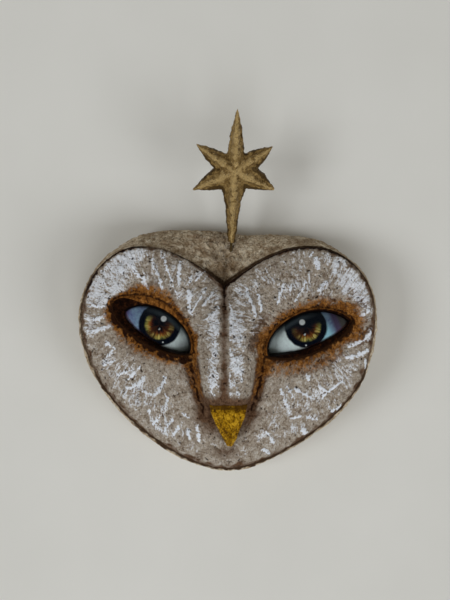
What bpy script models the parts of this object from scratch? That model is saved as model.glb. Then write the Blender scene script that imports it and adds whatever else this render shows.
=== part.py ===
"""Wall ornament: a hand-modelled owl head in paper clay, with glass eyes and a star on a wire pin.

The back lies on the wall plane y = 0 and the face looks along -Y. Helper functions take lengths in
millimetres and points as (x, depth, z), where depth is the distance in front of the wall.
"""

import math

import bmesh
import bpy
import numpy as np
from mathutils import Vector

MM = 0.001
GAP = 0.3
LEFT, RIGHT = -1, 1

# Outlines from above the forehead to the chin, as (x, z); the two rings match point for point.
SEAM_X = -1.3
NOTCH, CHIN = (SEAM_X, 19.7), (SEAM_X, -36.2)
CROWN, THROAT = (SEAM_X, 36.6), (SEAM_X, -38.5)
FACE_EDGE = {
    RIGHT: [(4.5, 23.8), (12, 28.3), (20.5, 31.1), (29.5, 30.9), (37.5, 26.8), (43, 19.5),
            (45, 10), (43.5, -1), (39, -12), (31, -21), (19.5, -29.2), (8, -34.6)],
    LEFT: [(-7, 24.3), (-14.5, 28.7), (-22.5, 31.4), (-31, 31.2), (-38.5, 26.5), (-43.3, 19),
           (-45, 10), (-43.6, 0.5), (-39, -9.8), (-31.5, -19.4), (-21.5, -27.8), (-11, -33.8)],
}
BACK_EDGE = {
    RIGHT: [(5.5, 35.8), (13, 35.8), (20.5, 35.4), (28.5, 34), (37.5, 28.6), (44, 21.5),
            (46.9, 10), (45.4, -1.5), (41, -13), (32.5, -22.8), (20.5, -31.2), (8.5, -37)],
    LEFT: [(-8, 37.1), (-16, 37.4), (-23.5, 36.7), (-31, 34.2), (-39.2, 28.4), (-45, 19.8),
           (-47.1, 10), (-45.8, 0), (-41, -11), (-33, -21.2), (-22.5, -30.2), (-11.5, -36)],
}
EDGE_STEPS, LOBE_EDGE_STEPS = 3, 5

# Layers from the wall forwards.
FELT_DEPTH = 3.5
BOARD_BACK, BOARD_FRONT = FELT_DEPTH + GAP, 6.5
CORE_BACK, CORE_FRONT = BOARD_FRONT + GAP, 16.4
SHELL_FRONT = 16.7
LOBE_BACK = SHELL_FRONT + GAP
PRINT_THICKNESS = 0.3
GLASS_BACK = LOBE_BACK + PRINT_THICKNESS + GAP

# The head's wall: (depth, share of the way from back edge to face edge, inset).
SHELL_OUTSIDE = [(0, 0, 2.4), (1.2, 0, 0.9), (3.5, 0, 0.15), (6.5, 0, 0), (9.5, 0.14, 0),
                 (12, 0.36, 0), (14.2, 0.62, 0), (15.8, 0.85, -0.1), (SHELL_FRONT, 1, -0.3)]
SHELL_INSIDE_DEPTHS = [SHELL_FRONT, 14.2, 12, 9.5, 6.5, 0]
SHELL_WALL = 4.4
FILL_CLEARANCE = 0.45

# The relief of the face.
FACE_EDGE_DEPTH, FACE_BULGE, BULGE_POWER = 20.5, 5.5, 2.4
EDGE_ROUNDING = 2.2
RIDGE_X = -0.4
RIDGE_HEIGHT, RIDGE_TOP, RIDGE_CREST, RIDGE_FOOT = 7.0, 21, -9, -17.4
RIDGE_HALF_WIDTHS = [RIDGE_FOOT, -15, -10, 0, RIDGE_TOP], [5.7, 6.7, 7.8, 9.2, 10.5]
GROOVE_DEPTH, GROOVE_WIDTH = 1.0, 0.9
CREASE_DEPTH, CREASE_ACROSS = 1.0, 1.24
MUZZLE_HOLLOW = 1.2
SOCKET_HOLLOW = 0.8
LID_COVER = 1.5
POCKET_CLEARANCE = 0.4
SEAM_RISES = [0, 4, 8, 12, 15, 17, 18.2, 19.4, 20.6, 22, 24, 27, 30, 33.5, 37, 41, 45, 49, 53, 55.9]
LOBE_RINGS = [0, 0.09, 0.2, 0.33, 0.46, 0.59, 0.71, 0.82, 0.91, 0.965, 1]

# Each eye: its centre, and the slope of its long axis down to the nose.
EYE_CENTRE = {LEFT: (-23.3, 6.7), RIGHT: (24.4, 3.8)}
EYE_SLOPE = {LEFT: math.radians(32.5), RIGHT: math.radians(22)}
# Almonds in the eye's own plane: middle, half length, rise above the long axis and drop below it,
# then how sharply each of those two sides closes towards the nose and towards the ear.
ABOVE = {LEFT: (1.2, 1.25), RIGHT: (1.05, 1.5)}
BELOW = (1.35, 1.1)
OPENING = {side: (0, 14.6, 8.5, 5.0, ABOVE[side], BELOW) for side in (LEFT, RIGHT)}
LID_OUTSIDE = {side: (0, 13.9, 8.15, 4.65, ABOVE[side], BELOW) for side in (LEFT, RIGHT)}
LID_INSIDE = {
    LEFT: (2.0, 11.2, 6.3, 3.2, ABOVE[LEFT], (1.9, 0.9)),
    RIGHT: (0.2, 12.8, 7.3, 2.6, ABOVE[RIGHT], (2.6, 0.9)),
}
GLASS_HALF_LENGTH, GLASS_HALF_HEIGHT, GLASS_RISE = 15.0, 10.0, 2.0
GLASS_GIRDLE, GLASS_DOME = 1.2, 4.3
LID_PROUD = 0.7

BEAK_TOP, BEAK_TIP = -16.6, -28.5
BEAK_HALF_WIDTH = 5.8

# The star leans a little to the right and well forwards, from where its pin enters the crown.
STAR_FOOT = (0.8, 12.4, 31.2)
STAR_LEAN, STAR_PITCH = math.radians(2.5), math.radians(20)
STAR_CENTRE_RISE = 25.2
# Its rays clockwise from the top: angle, length, and the radius of the valley that follows.
STAR_LOW_RAY = 23.0
STAR_RAYS = [(90, 18.9, 5.7), (34, 13.4, 7.2), (-25, 13.6, 6.8),
             (-90, STAR_LOW_RAY, 7.4), (-151, 14.2, 6.3), (-211, 13.9, 5.2)]
# Where each ray's sides bend, as a share of the way from valley to tip, and how far outwards.
STAR_BEND, STAR_LOW_BEND = (0.45, 0.45), (0.27, -0.7)
STAR_HALF_THICKNESS, STAR_RIM = 3.4, 0.7
STAR_FOOT_WIDTH = 2.3
PIN_RADIUS, PIN_TOP, PIN_BOTTOM = 0.4, 7.0, -9.0
PIN_HOLE = 0.7

HINGE_Z, HINGE_DEPTH = 18.0, 2.0
RING_WIRE, RING_HALF_WIDTH, RING_CORNER, RING_SIDE = 0.7, 5.0, 1.3, 3.2
BARREL_INSIDE, BARREL_OUTSIDE, BARREL_OPENING = 0.82, 1.45, math.radians(300)
STRAP_WIDTH, STRAP_LENGTH = 7.6, 13.5
SCREW_DROP, SCREW_RADIUS, SCREW_HOLE, SCREW_LENGTH = 11.2, 0.9, 1.2, 3.3
HEAD_RADIUS, HEAD_THICKNESS, SLOT_WIDTH, SLOT_DEPTH = 2.0, 1.0, 0.5, 0.4
WINDOW_HALF_WIDTH, WINDOW_ABOVE, WINDOW_BELOW = 7.5, 9.6, 14.3


def clear_scene():
    for obj in list(bpy.data.objects):
        bpy.data.objects.remove(obj)


def to_world(point):
    x, depth, z = point
    return Vector((x * MM, -depth * MM, z * MM))


def material(name, colour, roughness, metallic=0.0, alpha=1.0):
    made = bpy.data.materials.new(name)
    made.use_nodes = True
    shader = made.node_tree.nodes["Principled BSDF"]
    shader.inputs["Base Color"].default_value = (*colour, 1)
    shader.inputs["Roughness"].default_value = roughness
    shader.inputs["Metallic"].default_value = metallic
    shader.inputs["Alpha"].default_value = alpha
    made.diffuse_color = (*colour, alpha)
    return made


def add_object(name, bm, finish, origin=(0, 0, 0)):
    """Makes the bmesh, whose points are in world space, an object with its origin at that point."""
    bm.normal_update()
    bmesh.ops.recalc_face_normals(bm, faces=bm.faces)
    place = to_world(origin)
    for vertex in bm.verts:
        vertex.co -= place
    mesh = bpy.data.meshes.new(name)
    bm.to_mesh(mesh)
    bm.free()
    mesh.shade_smooth()
    mesh.set_sharp_from_angle(angle=math.radians(35))
    obj = bpy.data.objects.new(name, mesh)
    obj.location = place
    bpy.context.scene.collection.objects.link(obj)
    if finish:
        obj.data.materials.append(finish)
    return obj


def skin_loops(loops, joined_ends=False):
    """A bmesh through rings of equal length: capped at both ends, or the last ring joined to the first."""
    bm = bmesh.new()
    rings = [[bm.verts.new(to_world(p)) for p in loop] for loop in loops]
    pairs = list(zip(rings, rings[1:]))
    if joined_ends:
        pairs.append((rings[-1], rings[0]))
    else:
        bm.faces.new(rings[0])
        bm.faces.new(rings[-1])
    for a, b in pairs:
        for i in range(len(a)):
            j = (i + 1) % len(a)
            bm.faces.new((a[i], a[j], b[j], b[i]))
    return bm


def cylinder(bottom, top, radius, sides=16):
    """A capped cylinder between two (x, depth, z) points."""
    start, end = to_world(bottom), to_world(top)
    bm = bmesh.new()
    bmesh.ops.create_cone(bm, cap_ends=True, segments=sides, radius1=radius * MM,
                          radius2=radius * MM, depth=(end - start).length)
    bmesh.ops.rotate(bm, verts=bm.verts, matrix=(end - start).to_track_quat("Z", "Y").to_matrix())
    bmesh.ops.translate(bm, verts=bm.verts, vec=(start + end) / 2)
    return bm


def box(low, high):
    bm = bmesh.new()
    bmesh.ops.create_cube(bm, size=1)
    a, b = to_world(low), to_world(high)
    for vertex in bm.verts:
        vertex.co = (a + b) / 2 + Vector([c * (q - p) for c, p, q in zip(vertex.co, a, b)])
    return bm


def cut(obj, bm):
    """Subtracts the shape in bm from the object, as a Boolean modifier with a hidden cutter."""
    cutter = add_object(f"cutter_{len(bpy.data.objects)}", bm, None)
    cutter.hide_render = True
    cutter.display_type = "WIRE"
    modifier = obj.modifiers.new("cut", "BOOLEAN")
    modifier.object = cutter
    modifier.operation = "DIFFERENCE"


def smooth_step(value, low, high):
    """0 at low, 1 at high, eased between; low may be the larger."""
    t = np.clip((value - low) / (high - low), 0, 1)
    return t * t * (3 - 2 * t)


def curve_through(points, before, after, steps):
    """Catmull-Rom through the points, with a phantom point at each end; the last point is left out."""
    knots = np.array([before, *points, after], float)
    made = []
    for p0, p1, p2, p3 in zip(knots, knots[1:], knots[2:], knots[3:]):
        for t in np.arange(steps) / steps:
            made.append(0.5 * (2 * p1 + (p2 - p0) * t + (2 * p0 - 5 * p1 + 4 * p2 - p3) * t ** 2
                               + (3 * p1 - p0 - 3 * p2 + p3) * t ** 3))
    return np.array(made)


def half_edge(edge, side, top, bottom, sharp_top, steps=EDGE_STEPS):
    """One half of an outline, from its top point down to just before its bottom point."""
    other = edge[-side]
    points = [top, *edge[side], bottom]
    before = 2 * np.array(top) - np.array(points[1]) if sharp_top else other[0]
    return curve_through(points, before, other[-1], steps)


def ring_of(edge, top, bottom, sharp_top):
    """The whole outline: down the right half, then up the left."""
    right = half_edge(edge, RIGHT, top, bottom, sharp_top)
    left = half_edge(edge, LEFT, top, bottom, sharp_top)
    return np.vstack([right, [bottom], left[:0:-1]])


FACE_RING = ring_of(FACE_EDGE, NOTCH, CHIN, True)
BACK_RING = ring_of(BACK_EDGE, CROWN, THROAT, False)
FACE_ANGLES = np.arctan2(FACE_RING[:, 1], FACE_RING[:, 0])
FACE_RADII = np.hypot(*FACE_RING.T)


def face_radius(angle):
    """The face outline's distance from the head's centre in that direction."""
    order = np.argsort(FACE_ANGLES)
    return np.interp(angle, FACE_ANGLES[order], FACE_RADII[order], period=2 * math.pi)


def head_ring(depth, share, inset):
    """An outline part of the way from the back edge to the face edge, shrunk towards the centre."""
    ring = BACK_RING * (1 - share) + FACE_RING * share
    radii = np.hypot(*ring.T)[:, None]
    return [(x, depth, z) for x, z in ring * (radii - inset) / radii]


def share_at(depth):
    depths, shares, _ = zip(*SHELL_OUTSIDE)
    return float(np.interp(depth, depths, shares))


def eye_to_head(side, u, v):
    """A point in the eye's plane, u towards the nose and v up, as the head's (x, z)."""
    centre_x, centre_z = EYE_CENTRE[side]
    cos, sin = math.cos(EYE_SLOPE[side]), math.sin(EYE_SLOPE[side])
    return centre_x - side * (u * cos + v * sin), centre_z - u * sin + v * cos


def head_to_eye(side, x, z):
    centre_x, centre_z = EYE_CENTRE[side]
    cos, sin = math.cos(EYE_SLOPE[side]), math.sin(EYE_SLOPE[side])
    across, up = -side * (x - centre_x), z - centre_z
    return across * cos - up * sin, across * sin + up * cos


def almond(shape, turn):
    """The point of an almond outline at that turn from its nose end, in the eye's plane."""
    middle, half_length, rise, drop, above, below = shape
    sine, cosine = np.sin(turn), np.cos(turn)
    towards_nose = cosine > 0
    power = np.where(sine > 0, np.where(towards_nose, *above), np.where(towards_nose, *below))
    height = np.where(sine > 0, rise, drop) * np.abs(sine) ** power * np.sign(sine)
    return middle + half_length * cosine, height


def dome_depth(side, x, z):
    """The front of the glass eye, or of its seat where the point is outside the glass."""
    u, v = head_to_eye(side, x, z)
    inside = 1 - (u / GLASS_HALF_LENGTH) ** 2 - ((v - GLASS_RISE) / GLASS_HALF_HEIGHT) ** 2
    return GLASS_BACK + GLASS_GIRDLE + GLASS_DOME * np.sqrt(np.maximum(inside, 0))


def ridge_relief(x, z):
    """The broad nose ridge, its seam groove and the crease down each flank."""
    along = smooth_step(z, RIDGE_TOP, RIDGE_CREST) * smooth_step(z, RIDGE_FOOT, RIDGE_FOOT + 1.8)
    half_width = np.interp(z, *RIDGE_HALF_WIDTHS)
    across = np.abs(x - RIDGE_X) / half_width
    ridge = RIDGE_HEIGHT * along / (1 + across ** 6)
    crease = CREASE_DEPTH * smooth_step(z, 7, -4) * np.exp(-((across - CREASE_ACROSS) / 0.2) ** 2)
    groove = GROOVE_DEPTH * np.exp(-((x - SEAM_X) / GROOVE_WIDTH) ** 2)
    return ridge - groove - crease * smooth_step(z, RIDGE_FOOT - 2, RIDGE_FOOT + 2)


def face_depth(x, z):
    """The depth of the face's front surface."""
    radius = face_radius(np.arctan2(z, x))
    share = np.minimum(np.hypot(x, z) / radius, 1)
    from_edge = np.minimum((1 - share) * radius, EDGE_ROUNDING)
    rounding = EDGE_ROUNDING - np.sqrt(EDGE_ROUNDING ** 2 - (EDGE_ROUNDING - from_edge) ** 2)
    depth = FACE_EDGE_DEPTH + FACE_BULGE * (1 - share ** BULGE_POWER) - rounding
    depth = depth + ridge_relief(x, z)
    depth -= MUZZLE_HOLLOW * np.exp(-((x - SEAM_X) / 8) ** 2 - ((z + 23) / 7) ** 2)
    for side in (LEFT, RIGHT):
        u, v = head_to_eye(side, x, z)
        reach = np.hypot(u / 17, (v - 1.5) / 10)
        depth -= SOCKET_HOLLOW * np.exp(-(np.maximum(reach - 0.6, 0) / 0.35) ** 2)
        near = np.hypot(u / (GLASS_HALF_LENGTH + 1.5), (v - GLASS_RISE) / (GLASS_HALF_HEIGHT + 1.5))
        floor = dome_depth(side, x, z) + GAP + LID_COVER
        depth = np.where(near < 1, np.maximum(depth, floor), depth)
    return depth


def polar_about_eye(side, angles, outline):
    """Points of an eye-plane outline in the given head directions from the glass's centre."""
    centre = np.array(eye_to_head(side, 0, GLASS_RISE))
    points = np.array(eye_to_head(side, *outline)).T - centre
    around = np.arctan2(points[:, 1], points[:, 0])
    order = np.argsort(around)
    radius = np.interp(angles, around[order], np.hypot(*points[order].T), period=2 * math.pi)
    return centre + np.stack([np.cos(angles), np.sin(angles)], 1) * radius[:, None]


def glass_ellipse(extra, count=120):
    turn = np.arange(count) / count * 2 * math.pi
    return ((GLASS_HALF_LENGTH + extra) * np.cos(turn),
            (GLASS_HALF_HEIGHT + extra) * np.sin(turn) + GLASS_RISE)


def lobe_outline(side):
    """One half of the face: its outer edge, and the seam from chin to notch."""
    outer = half_edge(FACE_EDGE, side, NOTCH, CHIN, True, LOBE_EDGE_STEPS)[1:]
    seam = np.array([(SEAM_X, CHIN[1] + rise) for rise in SEAM_RISES])
    outline = np.vstack([outer, seam])
    limit = SEAM_X + side * GAP / 2
    outline[:, 0] = np.maximum(outline[:, 0], limit) if side > 0 else np.minimum(outline[:, 0], limit)
    return outline


def make_face_lobe(side, name, finish):
    """A clay half face: pocketed behind for the glass, with an almond opening in front of it."""
    outline = lobe_outline(side)
    centre = np.array(eye_to_head(side, 0, GLASS_RISE))
    angles = np.arctan2(outline[:, 1] - centre[1], outline[:, 0] - centre[0])
    turn = np.arange(240) / 240 * 2 * math.pi
    opening = polar_about_eye(side, angles, almond(OPENING[side], turn))
    pocket = polar_about_eye(side, angles, glass_ellipse(GAP))

    def loop(flat, depths):
        return [(x, d, z) for (x, z), d in zip(flat, np.broadcast_to(depths, len(flat)))]

    loops = []
    for share in LOBE_RINGS:
        flat = opening * (1 - share) + outline * share
        loops.append(loop(flat, face_depth(*flat.T)))
    loops.append(loop(outline, LOBE_BACK))
    loops.append(loop(pocket, LOBE_BACK))
    for share in (0, 0.1, 0.3, 0.6, 1):
        flat = pocket * (1 - share) + opening * share
        loops.append(loop(flat, dome_depth(side, *flat.T) + POCKET_CLEARANCE))
    return add_object(name, skin_loops(loops, joined_ends=True), finish)


def make_eyelid(side, upper, name, finish, steps=24):
    """A clay crescent from the nose corner of the eye to the outer corner, lying on the glass."""
    sign = 1 if upper else -1
    loops = []
    for turn in np.linspace(0, math.pi, steps + 1) * sign:
        inner, outer = almond(LID_INSIDE[side], turn), almond(LID_OUTSIDE[side], turn)
        flats = []
        for across in (0, 0.45, 1):
            u = inner[0] * (1 - across) + outer[0] * across
            v = inner[1] * (1 - across) + outer[1] * across + sign * GAP / 2
            flats.append(eye_to_head(side, u, v))
        seat = [dome_depth(side, x, z) + GAP for x, z in flats]
        top = float(face_depth(*np.array(flats[2])))
        crest = max(top + LID_PROUD, seat[1] + 1.2)
        section = [(flats[0], seat[0]), (flats[0], min(seat[0] + 0.8, crest)), (flats[1], crest),
                   (flats[2], max(top, seat[2] + 0.6)), (flats[2], seat[2]), (flats[1], seat[1])]
        loops.append([(x, depth, z) for (x, z), depth in section])
    return add_object(name, skin_loops(loops), finish)


def make_glass(side, name, finish):
    """An oval cabochon, flat behind, lying across the eye's slope."""
    rings = [(GLASS_BACK, 1), (GLASS_BACK + GLASS_GIRDLE, 1)]
    for climb in np.radians([18, 38, 58, 76]):
        rings.append((GLASS_BACK + GLASS_GIRDLE + GLASS_DOME * math.sin(climb), math.cos(climb)))
    loops = []
    for depth, scale in rings:
        u, v = glass_ellipse(0, 36)
        flat = np.stack([u * scale, (v - GLASS_RISE) * scale + GLASS_RISE])
        x, z = eye_to_head(side, *flat)
        loops.append([(a, depth, b) for a, b in zip(x, z)])
    x, z = eye_to_head(side, 0, GLASS_RISE)
    return add_object(name, skin_loops(loops), finish, (x, GLASS_BACK, z))


def make_eye_print(side, name, finish):
    """The oval paper print glued behind the glass."""
    x, z = eye_to_head(side, *glass_ellipse(-0.2, 36))
    loops = [[(a, depth, b) for a, b in zip(x, z)] for depth in (LOBE_BACK, LOBE_BACK + PRINT_THICKNESS)]
    x, z = eye_to_head(side, 0, GLASS_RISE)
    return add_object(name, skin_loops(loops), finish, (x, LOBE_BACK, z))


def make_beak(finish):
    """A short peaked wedge on the face below the ridge."""
    loops = []
    for z in np.linspace(BEAK_TOP, BEAK_TIP, 9):
        down = (BEAK_TOP - z) / (BEAK_TOP - BEAK_TIP)
        half_width = BEAK_HALF_WIDTH * (1 - down) ** 0.9 + 0.9 * down
        crest = float(np.interp(z, [BEAK_TIP, -25, -20, BEAK_TOP], [27.2, 29.3, 30.8, 31.4]))
        x = 0.45 * down - 0.1 * (1 - down) + half_width * np.linspace(-1, 1, 7)
        nearby = [face_depth(x + a, np.full(7, z + b)) for a in (-0.8, 0, 0.8) for b in (-0.9, 0, 0.9)]
        under = np.max(nearby, axis=0) + GAP
        over = crest - 1.9 * np.abs(np.linspace(-1, 1, 7)) ** 1.4
        over = np.maximum(over, under + 0.4)
        front = [(a, d, z) for a, d in zip(x, over)]
        back = [(a, d, z) for a, d in zip(x, under)]
        loops.append(front + back[::-1])
    return add_object("beak", skin_loops(loops), finish)


def make_shell(finish, pin_hole):
    """The open-backed clay wall, with the crown sloping forwards into the heart's notch."""
    loops = [head_ring(*section) for section in SHELL_OUTSIDE]
    for depth in SHELL_INSIDE_DEPTHS:
        loops.append(head_ring(depth, share_at(depth), SHELL_WALL))
    shell = add_object("head_shell", skin_loops(loops, joined_ends=True), finish)
    cut(shell, pin_hole)
    return shell


def make_core(finish, pin_hole):
    inset = SHELL_WALL + FILL_CLEARANCE
    depths = (CORE_BACK, 9.5, 12, 14.2, CORE_FRONT)
    loops = [head_ring(depth, share_at(depth), inset) for depth in depths]
    core = add_object("foam_core", skin_loops(loops), finish)
    cut(core, pin_hole)
    return core


def back_layer(name, back, front, finish):
    """A flat sheet that fills the shell's open back."""
    inset = SHELL_WALL + FILL_CLEARANCE
    return add_object(name, skin_loops([head_ring(back, 0, inset), head_ring(front, 0, inset)]), finish)


def star_outline():
    """Tips and valleys round the star's centre, with a blunt foot on the long lowest ray."""
    tips, valleys = [], []
    for (angle, length, valley), (next_angle, _, _) in zip(STAR_RAYS, STAR_RAYS[1:] + STAR_RAYS[:1]):
        reach = math.radians(angle)
        tips.append(Vector((length * math.cos(reach), length * math.sin(reach))))
        reach -= math.radians((angle - next_angle) % 360 / 2)
        valleys.append(Vector((valley * math.cos(reach), valley * math.sin(reach))))
    points = []
    for i, (tip, after) in enumerate(zip(tips, valleys)):
        low = STAR_RAYS[i][0] == -90
        share, bulge = STAR_LOW_BEND if low else STAR_BEND
        half_foot = Vector((STAR_FOOT_WIDTH / 2 if low else 0, 0))
        for valley, foot in ((valleys[i - 1], tip + half_foot), (after, tip - half_foot)):
            side = foot - valley
            outward = (valley - tip * valley.dot(tip) / tip.length_squared).normalized()
            bend = valley + side * share + outward * bulge
            points += [bend, foot] if valley is valleys[i - 1] else [foot, bend]
        if not low:
            del points[-2]
        points.append(after)
    return [(point.x, point.y) for point in points]


def along_star(rise, across=0.0, proud=0.0):
    """A point on the star's leaning axis, that far up it from the crown, to its right or in front."""
    x, depth, z = STAR_FOOT
    cos, sin = math.cos(STAR_LEAN), math.sin(STAR_LEAN)
    right, up = across * cos + rise * sin, rise * cos - across * sin
    forwards = math.cos(STAR_PITCH) * proud + math.sin(STAR_PITCH) * up
    return x + right, depth + forwards, z + math.cos(STAR_PITCH) * up - math.sin(STAR_PITCH) * proud


def make_star(finish):
    """A six-rayed star with a ridge along each ray, front and back, bored from below for its pin."""
    bm = bmesh.new()
    outline = star_outline()

    def ring(proud):
        return [bm.verts.new(to_world(along_star(STAR_CENTRE_RISE + b, a, proud))) for a, b in outline]

    def ray_foot(proud):
        return bm.verts.new(to_world(along_star(STAR_CENTRE_RISE - STAR_LOW_RAY, 0, proud)))

    front, back = ring(STAR_RIM), ring(-STAR_RIM)
    foot = min(range(len(outline)), key=lambda i: outline[i][1] - 0.01 * outline[i][0])
    for edge, proud in ((front, STAR_HALF_THICKNESS), (back, -STAR_HALF_THICKNESS)):
        centre = bm.verts.new(to_world(along_star(STAR_CENTRE_RISE, 0, proud)))
        peak = ray_foot(math.copysign(STAR_FOOT_WIDTH / 2, proud))
        edge.insert(foot + 1, peak)
        for a, b in zip(edge, edge[1:] + edge[:1]):
            bm.faces.new((centre, a, b))
    for i, (a, b) in enumerate(zip(front, back)):
        j = (i + 1) % len(front)
        if foot <= i <= foot + 1:
            continue
        bm.faces.new((a, front[j], back[j], b))
    bm.faces.new((front[foot], front[foot + 1], front[foot + 2],
                  back[foot + 2], back[foot + 1], back[foot]))
    star = add_object("star", bm, finish, along_star(0))
    bottom = STAR_CENTRE_RISE - STAR_LOW_RAY
    cut(star, cylinder(along_star(bottom - 2), along_star(PIN_TOP + GAP), PIN_HOLE, 12))
    return star


def strap_profile():
    """The strap's bent side view, as (down the strap, towards the board) from the hinge axis."""
    turns = np.linspace(0, BARREL_OPENING, 15)
    outer = [(-BARREL_OUTSIDE * math.sin(t), BARREL_OUTSIDE * math.cos(t)) for t in turns]
    inner = [(-BARREL_INSIDE * math.sin(t), BARREL_INSIDE * math.cos(t)) for t in turns[::-1]]
    return outer + inner + [(STRAP_LENGTH, BARREL_INSIDE), (STRAP_LENGTH, BARREL_OUTSIDE)]


def make_strap(finish):
    """A brass strip curled round the ring's bar, with one screw hole."""
    loops = []
    for x in (-STRAP_WIDTH / 2, STRAP_WIDTH / 2):
        loops.append([(x, HINGE_DEPTH + t, HINGE_Z - s) for s, t in strap_profile()])
    strap = add_object("hanger_strap", skin_loops(loops), finish, (0, HINGE_DEPTH, HINGE_Z))
    screw_z = HINGE_Z - SCREW_DROP
    cut(strap, cylinder((0, 0, screw_z), (0, BOARD_BACK + 1, screw_z), SCREW_HOLE))
    return strap


def ring_path():
    """The D of the ring from its bar down: (x, drop)."""
    flat = RING_HALF_WIDTH - RING_CORNER
    corner = [math.radians(a) for a in (0, 30, 60)]
    points = [(flat + RING_CORNER * math.sin(a), RING_CORNER * (1 - math.cos(a))) for a in corner]
    points.append((RING_HALF_WIDTH, RING_CORNER))
    for turn in np.radians(np.arange(0, 91, 15)):
        points.append((RING_HALF_WIDTH * math.cos(turn), RING_SIDE + RING_HALF_WIDTH * math.sin(turn)))
    return points + [(-x, drop) for x, drop in points[-2::-1]]


def make_ring(finish):
    """The hinged wire D that hangs from the strap, with its origin on the hinge axis."""
    curve = bpy.data.curves.new("hanger_ring", "CURVE")
    curve.dimensions = "3D"
    curve.bevel_depth = RING_WIRE * MM
    curve.bevel_resolution = 2
    path = ring_path()
    spline = curve.splines.new("POLY")
    spline.points.add(len(path) - 1)
    for point, (x, drop) in zip(spline.points, path):
        point.co = (x * MM, 0, -drop * MM, 1)
    spline.use_cyclic_u = True
    ring = bpy.data.objects.new("hanger_ring", curve)
    ring.location = to_world((0, HINGE_DEPTH, HINGE_Z))
    bpy.context.scene.collection.objects.link(ring)
    curve.materials.append(finish)
    return ring


def make_screw(finish):
    """A slotted screw through the strap into the board."""
    z = HINGE_Z - SCREW_DROP
    under_head = HINGE_DEPTH + BARREL_INSIDE - GAP
    profile = [
        (under_head - HEAD_THICKNESS, HEAD_RADIUS * 0.6),
        (under_head - HEAD_THICKNESS * 0.6, HEAD_RADIUS),
        (under_head, HEAD_RADIUS),
        (under_head, SCREW_RADIUS),
        (under_head + SCREW_LENGTH - 1, SCREW_RADIUS),
        (under_head + SCREW_LENGTH, 0.25),
    ]
    loops = []
    for depth, radius in profile:
        turns = np.arange(16) / 16 * 2 * math.pi
        loops.append([(radius * math.cos(t), depth, z + radius * math.sin(t)) for t in turns])
    screw = add_object("hanger_screw", skin_loops(loops), finish, (0, under_head, z))
    top = under_head - HEAD_THICKNESS
    cut(screw, box((-HEAD_RADIUS - 1, top - 1, z - SLOT_WIDTH / 2),
                   (HEAD_RADIUS + 1, top + SLOT_DEPTH, z + SLOT_WIDTH / 2)))
    return screw


def make_back(board_finish, felt_finish):
    """The board that carries the hanger, and the felt over it with a window round the hanger."""
    board = back_layer("back_board", BOARD_BACK, BOARD_FRONT, board_finish)
    screw_z = HINGE_Z - SCREW_DROP
    cut(board, cylinder((0, BOARD_BACK - 1, screw_z), (0, BOARD_FRONT + 1, screw_z), SCREW_HOLE))
    felt = back_layer("felt_pad", 0, FELT_DEPTH, felt_finish)
    cut(felt, box((-WINDOW_HALF_WIDTH, -1, HINGE_Z - WINDOW_BELOW),
                  (WINDOW_HALF_WIDTH, FELT_DEPTH + 1, HINGE_Z + WINDOW_ABOVE)))


def main():
    clear_scene()
    clay = material("crown_clay", (0.36, 0.30, 0.22), 0.9)
    face_clay = material("face_clay", (0.55, 0.52, 0.47), 0.85)
    lid_clay = material("lid_clay", (0.33, 0.15, 0.05), 0.75)
    horn = material("beak_paint", (0.52, 0.30, 0.02), 0.6)
    glass = material("eye_glass", (0.85, 0.9, 0.92), 0.03, alpha=0.35)
    paper = material("eye_paper", (0.25, 0.3, 0.33), 0.5)
    gold = material("gold_paint", (0.42, 0.30, 0.12), 0.45, metallic=0.6)
    foam = material("core_foam", (0.8, 0.8, 0.78), 0.95)
    board = material("board_wood", (0.5, 0.34, 0.19), 0.7)
    felt = material("backing_felt", (0.10, 0.07, 0.05), 1.0)
    brass = material("hanger_brass", (0.60, 0.45, 0.20), 0.35, metallic=1.0)

    make_shell(clay, cylinder(along_star(PIN_BOTTOM - 1), along_star(8), PIN_HOLE))
    make_core(foam, cylinder(along_star(PIN_BOTTOM - 1), along_star(8), PIN_HOLE))
    for side, word in ((LEFT, "left"), (RIGHT, "right")):
        make_face_lobe(side, f"face_lobe_{word}", face_clay)
        make_eyelid(side, True, f"upper_eyelid_{word}", lid_clay)
        make_eyelid(side, False, f"lower_eyelid_{word}", lid_clay)
        make_glass(side, f"eye_glass_{word}", glass)
        make_eye_print(side, f"eye_print_{word}", paper)
    make_beak(horn)
    make_star(gold)
    pin = cylinder(along_star(PIN_BOTTOM), along_star(PIN_TOP), PIN_RADIUS, 12)
    add_object("star_pin", pin, gold, along_star(0))
    make_back(board, felt)
    make_strap(brass)
    make_ring(brass)
    make_screw(brass)


main()
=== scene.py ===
"""The owl head wall ornament in its finish: painted pulp clay, glass eyes, gold star, back hardware.

Helper functions take millimetres and points as (x, depth, z), where depth is the distance in front
of the wall plane y = 0.
"""

import math

import bmesh
import bpy
import numpy as np
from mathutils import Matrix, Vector, noise

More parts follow.
